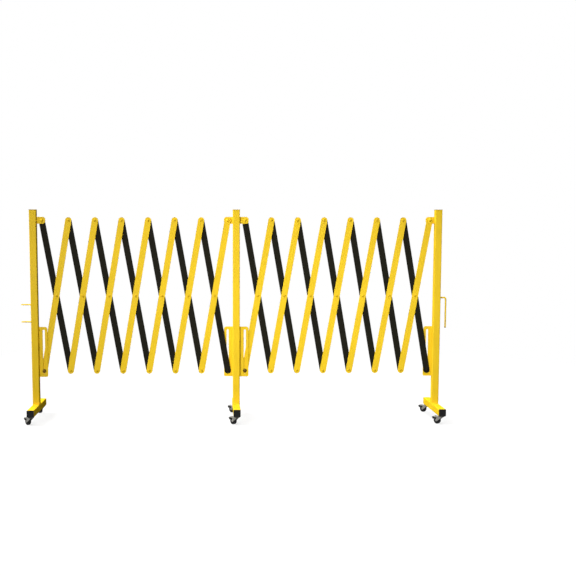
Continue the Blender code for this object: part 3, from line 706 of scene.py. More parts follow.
def roughened(tree, shader, pattern, low, high):
    """Lead a pattern to the roughness, between two values."""
    levels = add_node(tree, "ShaderNodeMapRange", (-560, -100),
                      {"Value": pattern, "To Min": low, "To Max": high})
    fill_sockets(tree, shader, {"Roughness": levels.outputs["Result"]})


def bumped(tree, shader, pattern, strength, distance=0.0003):
    """Lead a pattern to the surface's relief."""
    relief = add_node(tree, "ShaderNodeBump", (-280, -400),
                      {"Height": pattern, "Strength": strength, "Distance": distance})
    fill_sockets(tree, shader, {"Normal": relief.outputs["Normal"]})


def dulled(tree, shader, specular):
    """Gloss that fades where the surface turns away, as on rough powder coat."""
    facing = add_node(tree, "ShaderNodeLayerWeight", (-560, -250), {"Blend": 0.5})
    fade = add_node(tree, "ShaderNodeMapRange", (-380, -250), {
        "Value": facing.outputs["Facing"], "From Min": 0.3, "From Max": 0.7,
        "To Min": specular, "To Max": 0})
    fill_sockets(tree, shader, {"Specular IOR Level": fade.outputs["Result"]})


def shades(colour, *steps):
    """A colour at several lightnesses, as (position, colour) stops."""
    return [(position, tuple(min(1, channel * share) for channel in colour)) for position, share in steps]


def powder_coat(name, colour, specular=0.1, low=0.46, high=0.58, drift=0.04):
    """Powder coat: an even colour with a fine orange peel and slightly uneven gloss."""
    tree, shader, place = new_finish(name)
    dulled(tree, shader, specular)
    tinted(tree, shader, noise(tree, place, 200, scale=9, detail=3),
           shades(colour, (0.3, 1 - drift), (0.7, 1 + drift)))
    roughened(tree, shader, noise(tree, place, -100, scale=34, detail=3), low, high)
    bumped(tree, shader, noise(tree, place, -400, scale=520, detail=1), strength=0.12)


def cap_edge_shade_coat(name, colours):
    """Powder coat with painted shade on the cap plates' edges: darker yellow below their top faces."""
    tree, shader, place = new_finish(name)
    dulled(tree, shader, specular=0.1)
    full = post_top() - EDGE_SHADE_TOP
    axes = add_node(tree, "ShaderNodeSeparateXYZ", (-880, 200), {"Vector": place})
    above = add_node(tree, "ShaderNodeMapRange", (-700, 200), {
        "Value": axes.outputs["Z"], "From Min": full - EDGE_SHADE_FADE, "From Max": full})
    tinted(tree, shader, above.outputs["Result"], [(0, colours.cap_edge_shade_yellow), (1, colours.yellow)])
    roughened(tree, shader, noise(tree, place, -100, scale=34, detail=3), low=0.46, high=0.58)


def moulded(name, colour, low, high, grain, strength):
    """Moulded plastic or rubber with a fine grain."""
    tree, shader, place = new_finish(name, specular=0.12)
    tinted(tree, shader, noise(tree, place, 200, scale=60), shades(colour, (0.3, 0.85), (0.7, 1.2)))
    roughened(tree, shader, noise(tree, place, -100, scale=90), low, high)
    bumped(tree, shader, noise(tree, place, -400, scale=grain), strength)


def plated(name, colour, tint):
    """Plated steel: a metal whose tint drifts, with faint draw marks."""
    tree, shader, place = new_finish(name, metallic=0.9)
    tinted(tree, shader, noise(tree, place, 200, scale=70, detail=4),
           shades(colour, (0.25, 0.8), (0.55, 1)) + [(0.8, tint)])
    roughened(tree, shader, noise(tree, place, -100, scale=140, detail=3), low=0.34, high=0.5)
    bumped(tree, shader, noise(tree, place, -400, scale=900), strength=0.1, distance=0.0002)


class BARRIER_OT_finishes(bpy.types.Operator):
    """Make the paints, plastics and plated finishes"""

    bl_idname = "barrier.finishes"
    bl_label = "Finishes"

    def execute(self, context):
        colours = settings("finishes")
        powder_coat("yellow_powder_coat", colours.yellow)
        # The crossing rivets' darker yellow is painted shade
        powder_coat("rivet_painted_shade", colours.rivet_shade_yellow)
        # Painted shade along the cap plates' edges
        cap_edge_shade_coat("cap_edge_painted_shade", colours)
        powder_coat("black_powder_coat", colours.black, specular=0.04, low=0.55, high=0.68, drift=0.15)
        moulded("moulded_black_plastic", colours.plastic, low=0.38, high=0.55, grain=700, strength=0.15)
        moulded("tyre_rubber", colours.rubber, low=0.62, high=0.8, grain=420, strength=0.25)
        plated("zinc_plated_steel", colours.zinc, colours.zinc_tint)
        # The swivel heads' darker zinc is painted shade
        plated("swivel_head_painted_shade", colours.head_shade_zinc, colours.head_shade_tint)
        plated("dark_passivated_zinc", colours.dark_zinc, colours.dark_tint)
        return {"FINISHED"}


# Lattice

# Sides of a full turn at the slats' round ends, and of each rivet and bolt
END_SIDES = 56
RIVET_SIDES = 28
# The rivets' pressed tails, in shares of their radius and height
TAIL_SHARES = ((1, 0), (1, 0.3), (0.86, 0.8), (0.6, 1), (0.4, 0.9), (0.1, 0.75))


def slat_bar(half, holes):
    """A flat slat with round ends, drilled at the given heights."""
    slats = settings("lattice")
    radius = slats.slat_width / 2
    bar = new_band([(0, -half, radius), (0, half, radius)], slats.slat_thickness, END_SIDES)
    for height, hole in holes:
        drill(bar, hole, -radius, radius, RIVET_SIDES, shift(z=height) @ TO_VIEWER)
    return shade(soften(bar, slats.slat_edge))


def rivet(head_radius, head_seat, head_height, tail_seat, spacer=()):
    """A rivet along Z: domed head above, pressed tail below, and a spacer where it has one."""
    slats = settings("lattice")
    shank = slats.shank_radius
    profile = dome(head_radius, head_seat, head_height) + [(shank, head_seat)]
    if spacer:
        near, far = spacer
        profile += [(shank, near), (slats.spacer_radius, near), (slats.spacer_radius, far), (shank, far)]
    profile.append((shank, tail_seat))
    profile += profile_from(TAIL_SHARES, slats.tail_radius, -slats.tail_height, tail_seat)
    return shade(move(new_turned(profile, RIVET_SIDES), TO_VIEWER))


class BARRIER_OT_slats(bpy.types.Operator):
    """Set out the yellow and black slats of both lattices"""

    bl_idname = "barrier.slats"
    bl_label = "Slats"

    def execute(self, context):
        slats = settings("lattice")
        half = half_slat()
        rivet_hole = slats.shank_radius + slats.layer_gap
        bolt_hole = settings("bolts").shank_radius + slats.layer_gap
        upper_holes = [(0, rivet_hole), (half, rivet_hole)]
        plain = slat_bar(half, [(-half, rivet_hole)] + upper_holes)
        bolted = slat_bar(half, [(-half, bolt_hole)] + upper_holes)
        layer = (slats.slat_thickness + slats.layer_gap) / 2
        for section in SECTIONS:
            for colour, coat, depth, bolted_cell in (("yellow", YELLOW, -layer, 1),
                                                     ("black", BLACK, layer, CELLS)):
                for cell in EACH_CELL:
                    node = slat_node(section, colour, cell)
                    set_out(bolted if cell == bolted_cell else plain, f"{node}_bar",
                            slat_place(section, colour, cell) @ shift(y=depth), node, node, coat=coat)
        put_away(plain, bolted)
        return {"FINISHED"}


class BARRIER_OT_rivets(bpy.types.Operator):
    """Set out the painted rivets of the crossings and the larger ones of the lugs"""

    bl_idname = "barrier.rivets"
    bl_label = "Rivets"

    def execute(self, context):
        slats = settings("lattice")
        gap = slats.layer_gap
        face = slats.slat_thickness + gap / 2
        near, far = plate_faces()
        crossing_rivet = rivet(slats.head_radius, face, slats.head_height, -face - gap)
        front_rivet = rivet(slats.lug_head_radius, far + gap, slats.lug_head_height, -face,
                            (near - gap, -gap / 2))
        rear_rivet = rivet(slats.lug_head_radius, face, slats.lug_head_height, -far - gap,
                           (gap / 2, gap - near))
        half = half_slat()
        for section in SECTIONS:
            for cell in EACH_CELL:
                node = slat_node(section, "yellow", cell)
                spots = {"centre": 0}
                if cell < CELLS:
                    spots["upper"] = half
                if cell > 1:
                    spots["lower"] = -half
                for spot, height in spots.items():
                    # The crossing rivets' darker coat is painted shade
                    set_out(crossing_rivet, f"{section}_{spot}_rivet_{cell}",
                            slat_place(section, "yellow", cell) @ shift(z=height), node, node,
                            coat=SHADED_RIVET_YELLOW)
            for layer, pattern, colour, cell in (("front", front_rivet, "black", 1),
                                                 ("rear", rear_rivet, "yellow", CELLS)):
                node = slat_node(section, colour, cell)
                set_out(pattern, f"{section}_{layer}_lug_rivet",
                        slat_place(section, colour, cell) @ shift(z=half), node, node, coat=YELLOW)
        put_away(crossing_rivet, front_rivet, rear_rivet)
        return {"FINISHED"}


# Slot bolts, modelled along Z with the nut above

# A nut's turned face, in shares of its flats' radius and of its corners'
NUT_FACE_SHARE = 0.97
NUT_CLEAR_SHARE = 1.02
NUT_SLOPE_SHARE = 0.62
# A cap nut's dome, in shares of the nut's radius
COVER_SHARE = 0.84
# A thread's ridge and groove, in shares of its depth and pitch
THREAD_SHARES = ((0, 0.4), (0, 0.6), (1, 1))


def hex_nut(radius, bottom, height, sides):
    """A six-sided nut with its corners turned off at both ends."""
    nut = new_turned([(radius, bottom), (radius, bottom + height)], 6)
    flat = radius * math.cos(math.radians(30))
    face = flat * NUT_FACE_SHARE
    clear = radius * NUT_CLEAR_SHARE
    slope = (radius - flat) * NUT_SLOPE_SHARE
    turned = new_turned([(face, bottom + height), (clear, bottom + height - slope),
                         (clear, bottom + slope), (face, bottom)], sides)
    return use_tool(nut, turned, "INTERSECT")


def threaded(radius, depth, pitch, top, bottom):
    """Profile of a thread's ridges from its chamfered top down to a height."""
    points = [(radius - 2 * depth, top), (radius - depth, top - depth)]
    height = top - depth
    while height - pitch > bottom:
        points += [(radius - depth * inwards, height - pitch * down) for inwards, down in THREAD_SHARES]
        height -= pitch
    return points


class BARRIER_OT_slot_bolts(bpy.types.Operator):
    """Set out the bolts, washers and nuts that slide in the slotted brackets"""

    bl_idname = "barrier.slot_bolts"
    bl_label = "Slot bolts"

    def execute(self, context):
        gap = settings("lattice").layer_gap
        bolts = settings("bolts")
        shank = bolts.shank_radius
        hole = shank + gap
        rim = bolts.washer_radius
        _, far = plate_faces()
        head_seat = -gap / 2
        washer_seat = far + gap
        nut_seat = washer_seat + bolts.washer_thickness
        head = dome(bolts.head_radius, -head_seat, bolts.head_height)
        bolt = new_turned([(shank, nut_seat + bolts.nut_height / 2), (shank, head_seat)] + turned_over(head),
                          RIVET_SIDES)
        washer = new_turned([(hole, washer_seat), (rim, washer_seat), (rim, nut_seat), (hole, nut_seat)],
                            RIVET_SIDES, is_ring=True)
        soften(washer, bolts.washer_thickness * EDGE_SHARE)
        nut = hex_nut(bolts.nut_radius, nut_seat, bolts.nut_height, RIVET_SIDES)
        cover_radius = bolts.nut_radius * COVER_SHARE
        cover = dome(cover_radius, nut_seat + bolts.nut_height - gap, bolts.dome_height)
        use_tool(nut, new_turned(cover + [(cover_radius, nut_seat + gap)], RIVET_SIDES), "UNION")
        soften(nut, gap / 2)
        patterns = {"shank": bolt, "washer": washer, "nut": nut}
        for pattern in patterns.values():
            shade(move(pattern, TO_VIEWER))
        for section in SECTIONS:
            for colour, cell, turn in (("yellow", 1, AS_IT_IS), ("black", CELLS, HALF_TURN)):
                node = bolt_node(section, colour)
                body = slat_node(section, colour, cell)
                place = slat_place(section, colour, cell) @ shift(z=-half_slat()) @ turn
                for kind, pattern in patterns.items():
                    coat = BLACK if (kind, colour) == ("shank", "black") else DARK_ZINC
                    set_out(pattern, f"{node}_{kind}", place, body, node, coat=coat)
        put_away(*patterns.values())
        return {"FINISHED"}


# Posts, about their own axis

# The posts' sides that carry plates, modelled for the right side
PLATE_SIDES = (("left", "right", AS_IT_IS), ("middle", "right", AS_IT_IS),
               ("middle", "left", HALF_TURN), ("right", "left", HALF_TURN))
# Sides and steps of what is round on the posts
HOLE_SIDES = 24
SLOT_SIDES = 32
ROD_SIDES = 24
WELD_SIDES = 12
ROD_BEND_STEPS = 10
OUTER_BEND_STEPS = 7
INNER_BEND_STEPS = 4
PLATE_CORNER_STEPS = 9
TAB_CORNER_STEPS = 12
CROWN_STEPS = 4
LEAST_RIPPLES = 3
# A weld bead's end and ripples, in shares of its radius and of a ripple's length
WELD_END_SHARES = ((0.25, 0), (0.7, 0.3))
WELD_RIPPLE_SHARES = ((1, -0.2), (0.86, 0.3))
# How far a bead sinks, in shares of its radius
WELD_SINK_SHARE = 0.2
FOOT_WELD_SINK_SHARE = 0.3
SIDE_WELD_SINK_SHARE = 0.48
# The bead round the hook rod, in shares of its radius
ROD_WELD_SHARES = ((0.8, 0.6), (0.25, 1.1))
ROD_WELD_HEIGHT_SHARE = 1.2


def square_tube(length):
    """A square tube along Z from Z = 0, open at both ends."""
    posts = settings("posts")
    half = posts.tube_side / 2
    tube = new_box((-half, -half, 0), (half, half, length))
    with edit_mode(tube):
        round_edges(posts.tube_corner, CORNER_STEPS, lambda edge: runs_along(edge, "Z"))
        pick("FACE", lambda face: abs(face.normal.z) > ALIGNED)
        bpy.ops.mesh.delete(type="FACE")
        point_outwards()
    return apply_change(tube, "SOLIDIFY", thickness=posts.tube_wall, offset=-1, use_even_offset=True)


def weld_bead(length):
    """A rippled weld bead along Z, centred on the origin."""
    posts = settings("posts")
    ripples = max(LEAST_RIPPLES, round(length / posts.weld_ripple))
    pitch = length / ripples
    end = profile_from(WELD_END_SHARES, posts.weld_radius, pitch, -length / 2)
    profile = end[:]
    for ripple in range(1, ripples):
        profile += profile_from(WELD_RIPPLE_SHARES, posts.weld_radius, pitch, -length / 2 + ripple * pitch)
    return shade(new_turned(profile + turned_over(end), WELD_SIDES))


def foot_tube():
    """A foot tube along Y with the castors' stem holes."""
    posts = settings("posts")
    castors = settings("castors")
    middle = posts.foot_clearance + posts.tube_side / 2
    foot = move(square_tube(posts.foot_length), shift(y=posts.foot_length / 2, z=middle) @ TO_VIEWER)
    reach = (joint_place("middle_rear_castor_swivel") - joint_place("middle_front_castor_swivel")).y / 2
    hole = castors.stem_radius + castors.head_gap
    for way in WAYS:
        drill(foot, hole, -posts.tube_wall, 2 * posts.tube_wall, HOLE_SIDES,
              shift(y=way * reach, z=posts.foot_clearance))
    return shade(foot)


def upright():
    """An upright that stands in its weld on the foot."""
    posts = settings("posts")
    bottom = posts.foot_clearance + posts.tube_side - posts.weld_depth
    top = post_top() - posts.cap_plate + posts.cap_gap
    return shade(move(square_tube(top - bottom), shift(z=bottom)))


def cap_plate():
    """The plate that closes an upright's top."""
    posts = settings("posts")
    top = post_top()
    rim = posts.tube_side / 2 + posts.cap_plate_rim
    plate = new_box((-rim, -rim, top - posts.cap_plate), (rim, rim, top))
    with edit_mode(plate):
        round_edges(posts.tube_corner, CORNER_STEPS, lambda edge: runs_along(edge, "Z"))
    return shade(soften(plate, posts.cap_plate * EDGE_SHARE))


def foot_welds():
    """The beads round an upright's foot: along its front and rear, and down its flush sides."""
    posts = settings("posts")
    half = posts.tube_side / 2
    length = posts.tube_side - 2 * posts.tube_corner
    height = posts.foot_clearance + posts.tube_side
    sink = posts.weld_radius * FOOT_WELD_SINK_SHARE
    side = half - posts.weld_radius * SIDE_WELD_SINK_SHARE
    beads = []
    for way in WAYS:
        beads.append(move(weld_bead(length), shift(y=way * (half + sink), z=height + sink) @ TO_RIGHT))
        beads.append(move(weld_bead(length), shift(x=way * side, z=height - sink) @ TO_VIEWER))
    return join_pieces(*beads)


def bent_plate(bottom, top, low_corner, high_corner):
    """An L plate for a post's right side: its face towards the viewer, its flange on the post."""
    plates = settings("plates")
    near, far = plate_faces()
    left = settings("posts").tube_side / 2 - plates.seat
    inner = left + plates.thickness
    plate = new_box((left, -far, bottom), (inner, -near, top))
    with edit_mode(plate):
        pick("FACE", lambda face: faces_along(face, "X", 1))
        extrude(x=plates.reach - inner)
        pick("FACE", lambda face: faces_along(face, "Y", 1) and face.calc_center_median().x < inner)
        extrude(y=near - far + plates.flange_length)
        round_edges(plates.bend_radius + plates.thickness, OUTER_BEND_STEPS,
                    lambda edge: lies_at(edge, X=left, Y=-far))
        round_edges(plates.bend_radius, INNER_BEND_STEPS, lambda edge: lies_at(edge, X=inner, Y=-near))
        for height, corner in ((bottom, low_corner), (top, high_corner)):
            round_edges(corner, PLATE_CORNER_STEPS,
                        lambda edge: runs_along(edge, "Y") and lies_at(edge, X=plates.reach, Z=height))
        point_outwards()
    return plate


def upper_lug():
    """The lug that a lattice's end slat hangs on."""
    slats = settings("lattice")
    plates = settings("plates")
    middle = top_pivot()
    half = plates.lug_height / 2
    lug = bent_plate(middle - half, middle + half, plates.lug_corner, plates.lug_corner)
    drill(lug, slats.shank_radius + slats.layer_gap, 0, plates.flange_length, RIVET_SIDES,
          shift(x=plates.pivot_reach, z=middle) @ TO_VIEWER)
    return shade(soften(lug, plates.edge))


def bracket_span():
    """Heights of the slot's lowest and highest pin."""
    plates = settings("plates")
    length = 2 * half_slat()
    return [top_pivot() - length * math.cos(lean) for lean in (plates.closed_angle, plates.open_angle)]


def slotted_bracket():
    """The bracket whose slot guides a lattice's lower end."""
    plates = settings("plates")
    lowest, highest = bracket_span()
    margin = plates.slot_half_width + plates.slot_margin
    bracket = bent_plate(lowest - margin, highest + margin, plates.bracket_corner, plates.bracket_top_corner)
    ends = [(plates.pivot_reach, height, plates.slot_half_width) for height in (lowest, highest)]
    use_tool(bracket, new_band(ends, plates.flange_length, SLOT_SIDES, middle=-plates.flange_length / 2))
    return shade(soften(bracket, plates.edge))


def stitch_welds(*heights):
    """Beads that hold an L plate's flange to the post's right side."""
    posts = settings("posts")
    flange = settings("plates").flange_length
    _, far = plate_faces()
    sink = posts.weld_radius * WELD_SINK_SHARE
    x = posts.tube_side / 2 + sink
    y = flange - far + sink
    return join_pieces(*[move(weld_bead(flange), shift(x, y, height)) for height in heights])


class BARRIER_OT_posts(bpy.types.Operator):
    """Set out the uprights, feet, cap plates and their welds"""

    bl_idname = "barrier.posts"
    bl_label = "Posts"

    def execute(self, context):
        # The cap plates carry painted shade along their edges
        patterns = {"foot_tube": (foot_tube(), YELLOW), "upright": (upright(), YELLOW),
                    "cap_plate": (cap_plate(), CAP_EDGE_SHADE), "foot_welds": (foot_welds(), YELLOW)}
        set_out_all(patterns, [(post, post_place(post), f"{post}_post", f"{post}_post") for post in POSTS])
        return {"FINISHED"}


class BARRIER_OT_plates(bpy.types.Operator):
    """Set out the upper lugs and slotted brackets with their stitch welds"""

    bl_idname = "barrier.plates"
    bl_label = "Lugs and brackets"

    def execute(self, context):
        lowest, highest = bracket_span()
        patterns = {
            "lug": (upper_lug(), YELLOW),
            "bracket": (slotted_bracket(), YELLOW),
            "lug_weld": (stitch_welds(top_pivot()), YELLOW),
            "bracket_welds": (stitch_welds(lowest, (lowest + highest) / 2, highest), YELLOW),
        }
        set_out_all(patterns, [(f"{post}_{side}", post_place(post) @ turn, f"{post}_post", f"{post}_post")
                               for post, side, turn in PLATE_SIDES])
        return {"FINISHED"}


class BARRIER_OT_foot_caps(bpy.types.Operator):
    """Set out the plastic caps in the feet's ends"""

    bl_idname = "barrier.foot_caps"
    bl_label = "Foot caps"

    def execute(self, context):
        posts = settings("posts")
        half = posts.tube_side / 2
        seat = -posts.foot_length / 2 - posts.cap_gap
        front = seat - posts.cap_flange
        middle = posts.foot_clearance + half
        centre = (0, seat, middle)
        cap = new_box((-half, front, middle - half), (half, seat, middle + half))
        with edit_mode(cap):
            round_edges(posts.tube_corner, CORNER_STEPS, lambda edge: runs_along(edge, "Y"))
            round_edges(posts.cap_crown, CROWN_STEPS, lambda edge: lies_at(edge, Y=front))
            pick("FACE", lambda face: faces_along(face, "Y", 1))
            plug = half - posts.tube_wall - posts.cap_gap
            step_in(plug / half, centre)
            extrude(y=posts.plug_depth)
            step_in(1 - posts.plug_wall / plug, centre)
            extrude(y=-posts.plug_depth)
            pick("FACE", lambda face: faces_along(face, "Y", -1) and lies_at(face, Y=front))
            step_in(1 - posts.cap_crown / half, centre)
            step_in(1 - 2 * posts.cap_gap / half, centre)
            bpy.ops.transform.translate(value=(0, posts.cap_gap, 0))
            point_outwards()
        spots = [(f"{post}_{end}_foot_cap", post_place(post) @ turn, f"{post}_post", f"{post}_{end}_foot_cap")
                 for post in POSTS for end, turn in zip(ENDS, (AS_IT_IS, HALF_TURN))]
        set_out_all({"moulding": (shade(cap), PLASTIC)}, spots)
        return {"FINISHED"}


class BARRIER_OT_joining_parts(bpy.types.Operator):
    """Set out the hook rod and the two joining tabs"""

    bl_idname = "barrier.joining_parts"
    bl_label = "Hook rod and tabs"

    def execute(self, context):
        joining = settings("joining")
        set_out_all({"bar": (self.rod(joining), YELLOW), "weld": (self.rod_weld(joining), YELLOW)},
                    [("hook_rod", post_place("right"), "right_post", "hook_rod")])
        spots = [(f"{level}_joining", post_place("left") @ shift(z=height), "left_post", "left_post")
                 for level, height in zip(("upper", "lower"), joining.tab_heights)]
        set_out_all({"tab": (self.tab(joining), YELLOW), "tab_welds": (self.tab_welds(joining), YELLOW)},
                    spots)
        return {"FINISHED"}

    def rod(self, joining):
        """The hook rod, from the post outwards and down to its chamfered end."""
        radius = joining.rod_radius
        start = settings("posts").tube_side / 2 + settings("posts").cap_gap
        bend_x = joining.rod_reach - joining.rod_bend
        bend_z = joining.rod_top - joining.rod_bend
        chamfer = radius * EDGE_SHARE
        clear_selection()
        bpy.ops.mesh.primitive_circle_add(vertices=ROD_SIDES, radius=radius, fill_type="NGON",
                                          location=(start, 0, joining.rod_top),
                                          rotation=(0, RIGHT_ANGLE, 0))
        rod = new_piece()
        with edit_mode(rod):
            extrude(x=bend_x - start)
            bpy.ops.mesh.spin(steps=ROD_BEND_STEPS, angle=RIGHT_ANGLE, axis=(0, -1, 0),
                              center=(bend_x, 0, bend_z))
            extrude(z=joining.rod_end + chamfer - bend_z)
            extrude(z=-chamfer)
            narrow(1 - chamfer / radius, (joining.rod_reach, 0, joining.rod_end))
            point_outwards()
        return shade(rod)

    def rod_weld(self, joining):
        """The bead round the rod's end on the post."""
        radius = joining.rod_radius
        half = settings("posts").tube_side / 2
        gap = settings("posts").cap_gap
        bead = settings("posts").weld_radius
        rim = [(radius + bead * out, half + bead * up) for out, up in ROD_WELD_SHARES]
        profile = [(radius - gap, half - gap), (radius + bead, half - gap), *rim,
                   (radius - gap, half + bead * ROD_WELD_HEIGHT_SHARE)]
        weld = new_turned(profile, ROD_SIDES, is_ring=True)
        return shade(move(weld, shift(z=joining.rod_top) @ TO_RIGHT))

    def tab(self, joining):
        """A joining tab with its hole."""
        plates = settings("plates")
        half = settings("posts").tube_side / 2
        side = joining.tab_width / 2
        thick = joining.tab_thickness / 2
        tab = new_box((-joining.tab_reach, -side, -thick), (plates.seat - half, side, thick))
        with edit_mode(tab):
            round_edges(joining.tab_corner, TAB_CORNER_STEPS,
                        lambda edge: runs_along(edge, "Z") and lies_at(edge, X=-joining.tab_reach))
        drill(tab, joining.tab_hole, -side, side, SLOT_SIDES, shift(x=-joining.rod_reach))
        return shade(soften(tab, plates.edge))

    def tab_welds(self, joining):
        """The beads above and below a joining tab."""
        posts = settings("posts")
        sink = posts.weld_radius * WELD_SINK_SHARE
        height = joining.tab_thickness / 2 + sink
        length = joining.tab_width - 2 * joining.tab_thickness
        return join_pieces(*[move(weld_bead(length),
                                  shift(x=-posts.tube_side / 2 - sink, z=way * height) @ TO_VIEWER)
                             for way in WAYS])


# Castors. Places along the fork are measured from the swivel's axis.

# Sides and steps of what is round on the castors
HEAD_SIDES = 36
STEM_SIDES = 20
FORK_SIDES = 40
AXLE_SIDES = 24
PIN_SIDES = 16
TYRE_SIDES = 56
HUB_SIDES = 48
PEDAL_SIDES = 28
GROOVE_SIDES = 12
FORK_EDGE_STEPS = 5
# The swivel head's upper and lower rim, as steps in, out and down of a tenth of its height
HEAD_STEPS = 10
HEAD_UPPER_STEPS = ((1, 0), (0, 1), (0, 4), (1, 4.8), (2, 4.8), (2, 5.6), (1, 6))
HEAD_LOWER_STEPS = ((3, 8), (1, 9.5), (0, 10))
# The stem's thread, and its nut in shares of the thread's height
THREAD_DEPTH = 0.0003
THREAD_PITCH = 0.001
STEM_NUT_SHARE = 0.86
# A pin's riveted head, in shares of the pin's radius and of the head's height
PIN_HEAD_SHARES = ((0.5, 0), (1.16, 0.15), (1.45, 0.6), (1.45, 1), (1, 1))
PEDAL_PIN_END_SHARE = 0.7
# A tyre's side, in shares of its depth and of half its width
TYRE_SHARES = ((0, 0.9), (0.25, 1), (0.55, 1), (0.8, 0.95), (0.94, 0.82), (0.99, 0.6), (1, 0.2))
# The hub's boss in shares of its bore, and its boss and rim in shares of half the wheel's width
BOSS_SHARE = 1.7
BOSS_WIDTH_SHARE = 0.97
RIM_WIDTH_SHARE = 0.88
# How far the hub reaches into the tyre, its web's depth and slopes, its rim, and its pockets' slopes
HUB_OVERLAP = 0.0002
HUB_RECESS = 0.0018
HUB_SLOPE = 0.0004
HUB_RIM = 0.0018
POCKET_EDGE = 0.0006
POCKET_DEPTH = 0.0014
# Where a pocket of the hub starts and ends in its sixth of a turn, in degrees
POCKET_TURN = 60
POCKET_SPAN = (9, 51)
# The fork's arm in shares of the pedal's hub, and its edge in shares of its wall
ARM_SHARE = 0.85
FORK_EDGE_SHARE = 0.125
# Widths of the shapes that keep the fork's outline, unlike so that no faces meet, in half widths
OUTLINE_SHARE = 4
ARM_WIDTH_SHARE = 4.2
# The grip grooves' places along the pedal, in shares of it, and their width in shares of the pedal's
GROOVE_SHARES = (0.42, 0.6, 0.78)
GROOVE_WIDTH_SHARE = 1.5
GROOVE_RADIUS = 0.00035
GROOVE_LIFT = 0.0001


def from_axle(distance, angle):
    """A place in the fork's side view, by distance and angle from the axle."""
    castors = settings("castors")
    return Vector((castors.trail + distance * math.cos(angle),
                   castors.wheel_radius + distance * math.sin(angle)))


def brake_pin():
    """The brake pin's place in the fork's side view."""
    pin = joint_place("middle_rear_castor_brake_tread")
    place = pin - joint_place("middle_rear_castor_swivel")
    return math.hypot(place.x, place.y), pin.z


def swivel_head():
    """The pressed swivel head with its ball race."""
    castors = settings("castors")
    top = settings("posts").foot_clearance - castors.head_gap
    step = castors.head_height / HEAD_STEPS
    upper = [(castors.head_radius - inwards * step, top - down * step) for inwards, down in HEAD_UPPER_STEPS]
    lower = [(castors.head_lower_radius + out * step, top - down * step) for out, down in HEAD_LOWER_STEPS]
    return shade(new_turned(upper + lower, HEAD_SIDES))


def stem():
    """The stem and the nut that holds it in the foot tube."""
    posts = settings("posts")
    castors = settings("castors")
    radius = castors.stem_radius
    nut_bottom = posts.foot_clearance + posts.tube_wall + castors.head_gap
    thread = threaded(radius, THREAD_DEPTH, THREAD_PITCH,
                      nut_bottom + castors.stem_nut_height, nut_bottom)
    bar = new_turned(thread + [(radius, nut_bottom - castors.head_gap),
                               (radius, posts.foot_clearance - castors.head_gap - castors.fork_wall)],
                     STEM_SIDES)
    nut = hex_nut(castors.stem_nut_radius, nut_bottom, castors.stem_nut_height * STEM_NUT_SHARE, STEM_SIDES)
    return shade(use_tool(bar, nut, "UNION"))


def fork():
    """The fork, pressed from one sheet: a crown over the wheel and two legs."""
    castors = settings("castors")
    head_bottom = settings("posts").foot_clearance - castors.head_gap - castors.head_height
    top = head_bottom + castors.crown_wall
    inner = castors.wheel_width / 2 + castors.fork_side_gap
    outer = inner + castors.fork_wall
    pin_x, _ = brake_pin()
    arm_radius = castors.pedal_hub * ARM_SHARE
    back = castors.fork_back_radius
    margin = 2 * castors.fork_wall
    rear_end = -castors.fork_back - back - margin
    front_end = pin_x + arm_radius + margin
    floor = castors.wheel_radius - castors.fork_eye - margin
    channel = new_box((rear_end, -outer, floor), (front_end, outer, top))
    with edit_mode(channel):
        round_edges(castors.fork_wall, FORK_EDGE_STEPS,
                    lambda edge: runs_along(edge, "X") and lies_at(edge, Z=top))
    use_tool(channel, new_box((rear_end - margin, -inner, floor - margin),
                              (front_end + margin, inner, head_bottom)))
    use_tool(channel, new_box((castors.crown_end, -inner, floor), (front_end + margin, inner, top + margin)))
    shoulder = (castors.fork_shoulder, top - arm_radius, arm_radius)
    outline = new_band([(-castors.fork_back, top - back, back),
                        (castors.trail, castors.wheel_radius, castors.fork_eye), shoulder],
                       OUTLINE_SHARE * outer, FORK_SIDES)
    arm = new_band([shoulder, (pin_x, top - arm_radius, arm_radius)], ARM_WIDTH_SHARE * outer, FORK_SIDES)
    use_tool(channel, use_tool(outline, arm, "UNION"), "INTERSECT")
    return shade(soften(channel, castors.fork_wall * FORK_EDGE_SHARE))


def headed_pin(radius, end, sides, place):
    """A pin across the fork with a low riveted head at each end."""
    castors = settings("castors")
    half_width = castors.wheel_width / 2 + castors.fork_side_gap + castors.fork_wall
    upper = profile_from(PIN_HEAD_SHARES, radius, -end, half_width + end)
    return shade(move(new_turned(upper + turned_over(upper), sides), place @ TO_VIEWER))


def tyre(place):
    """The tyre, with a slightly crowned tread."""
    castors = settings("castors")
    half = castors.wheel_width / 2
    depth = castors.wheel_radius - castors.hub_radius
    side = [(castors.hub_radius + depth * out, half * along) for out, along in TYRE_SHARES]
    return shade(move(new_turned(side + turned_over(side), TYRE_SIDES, is_ring=True), place @ TO_VIEWER))


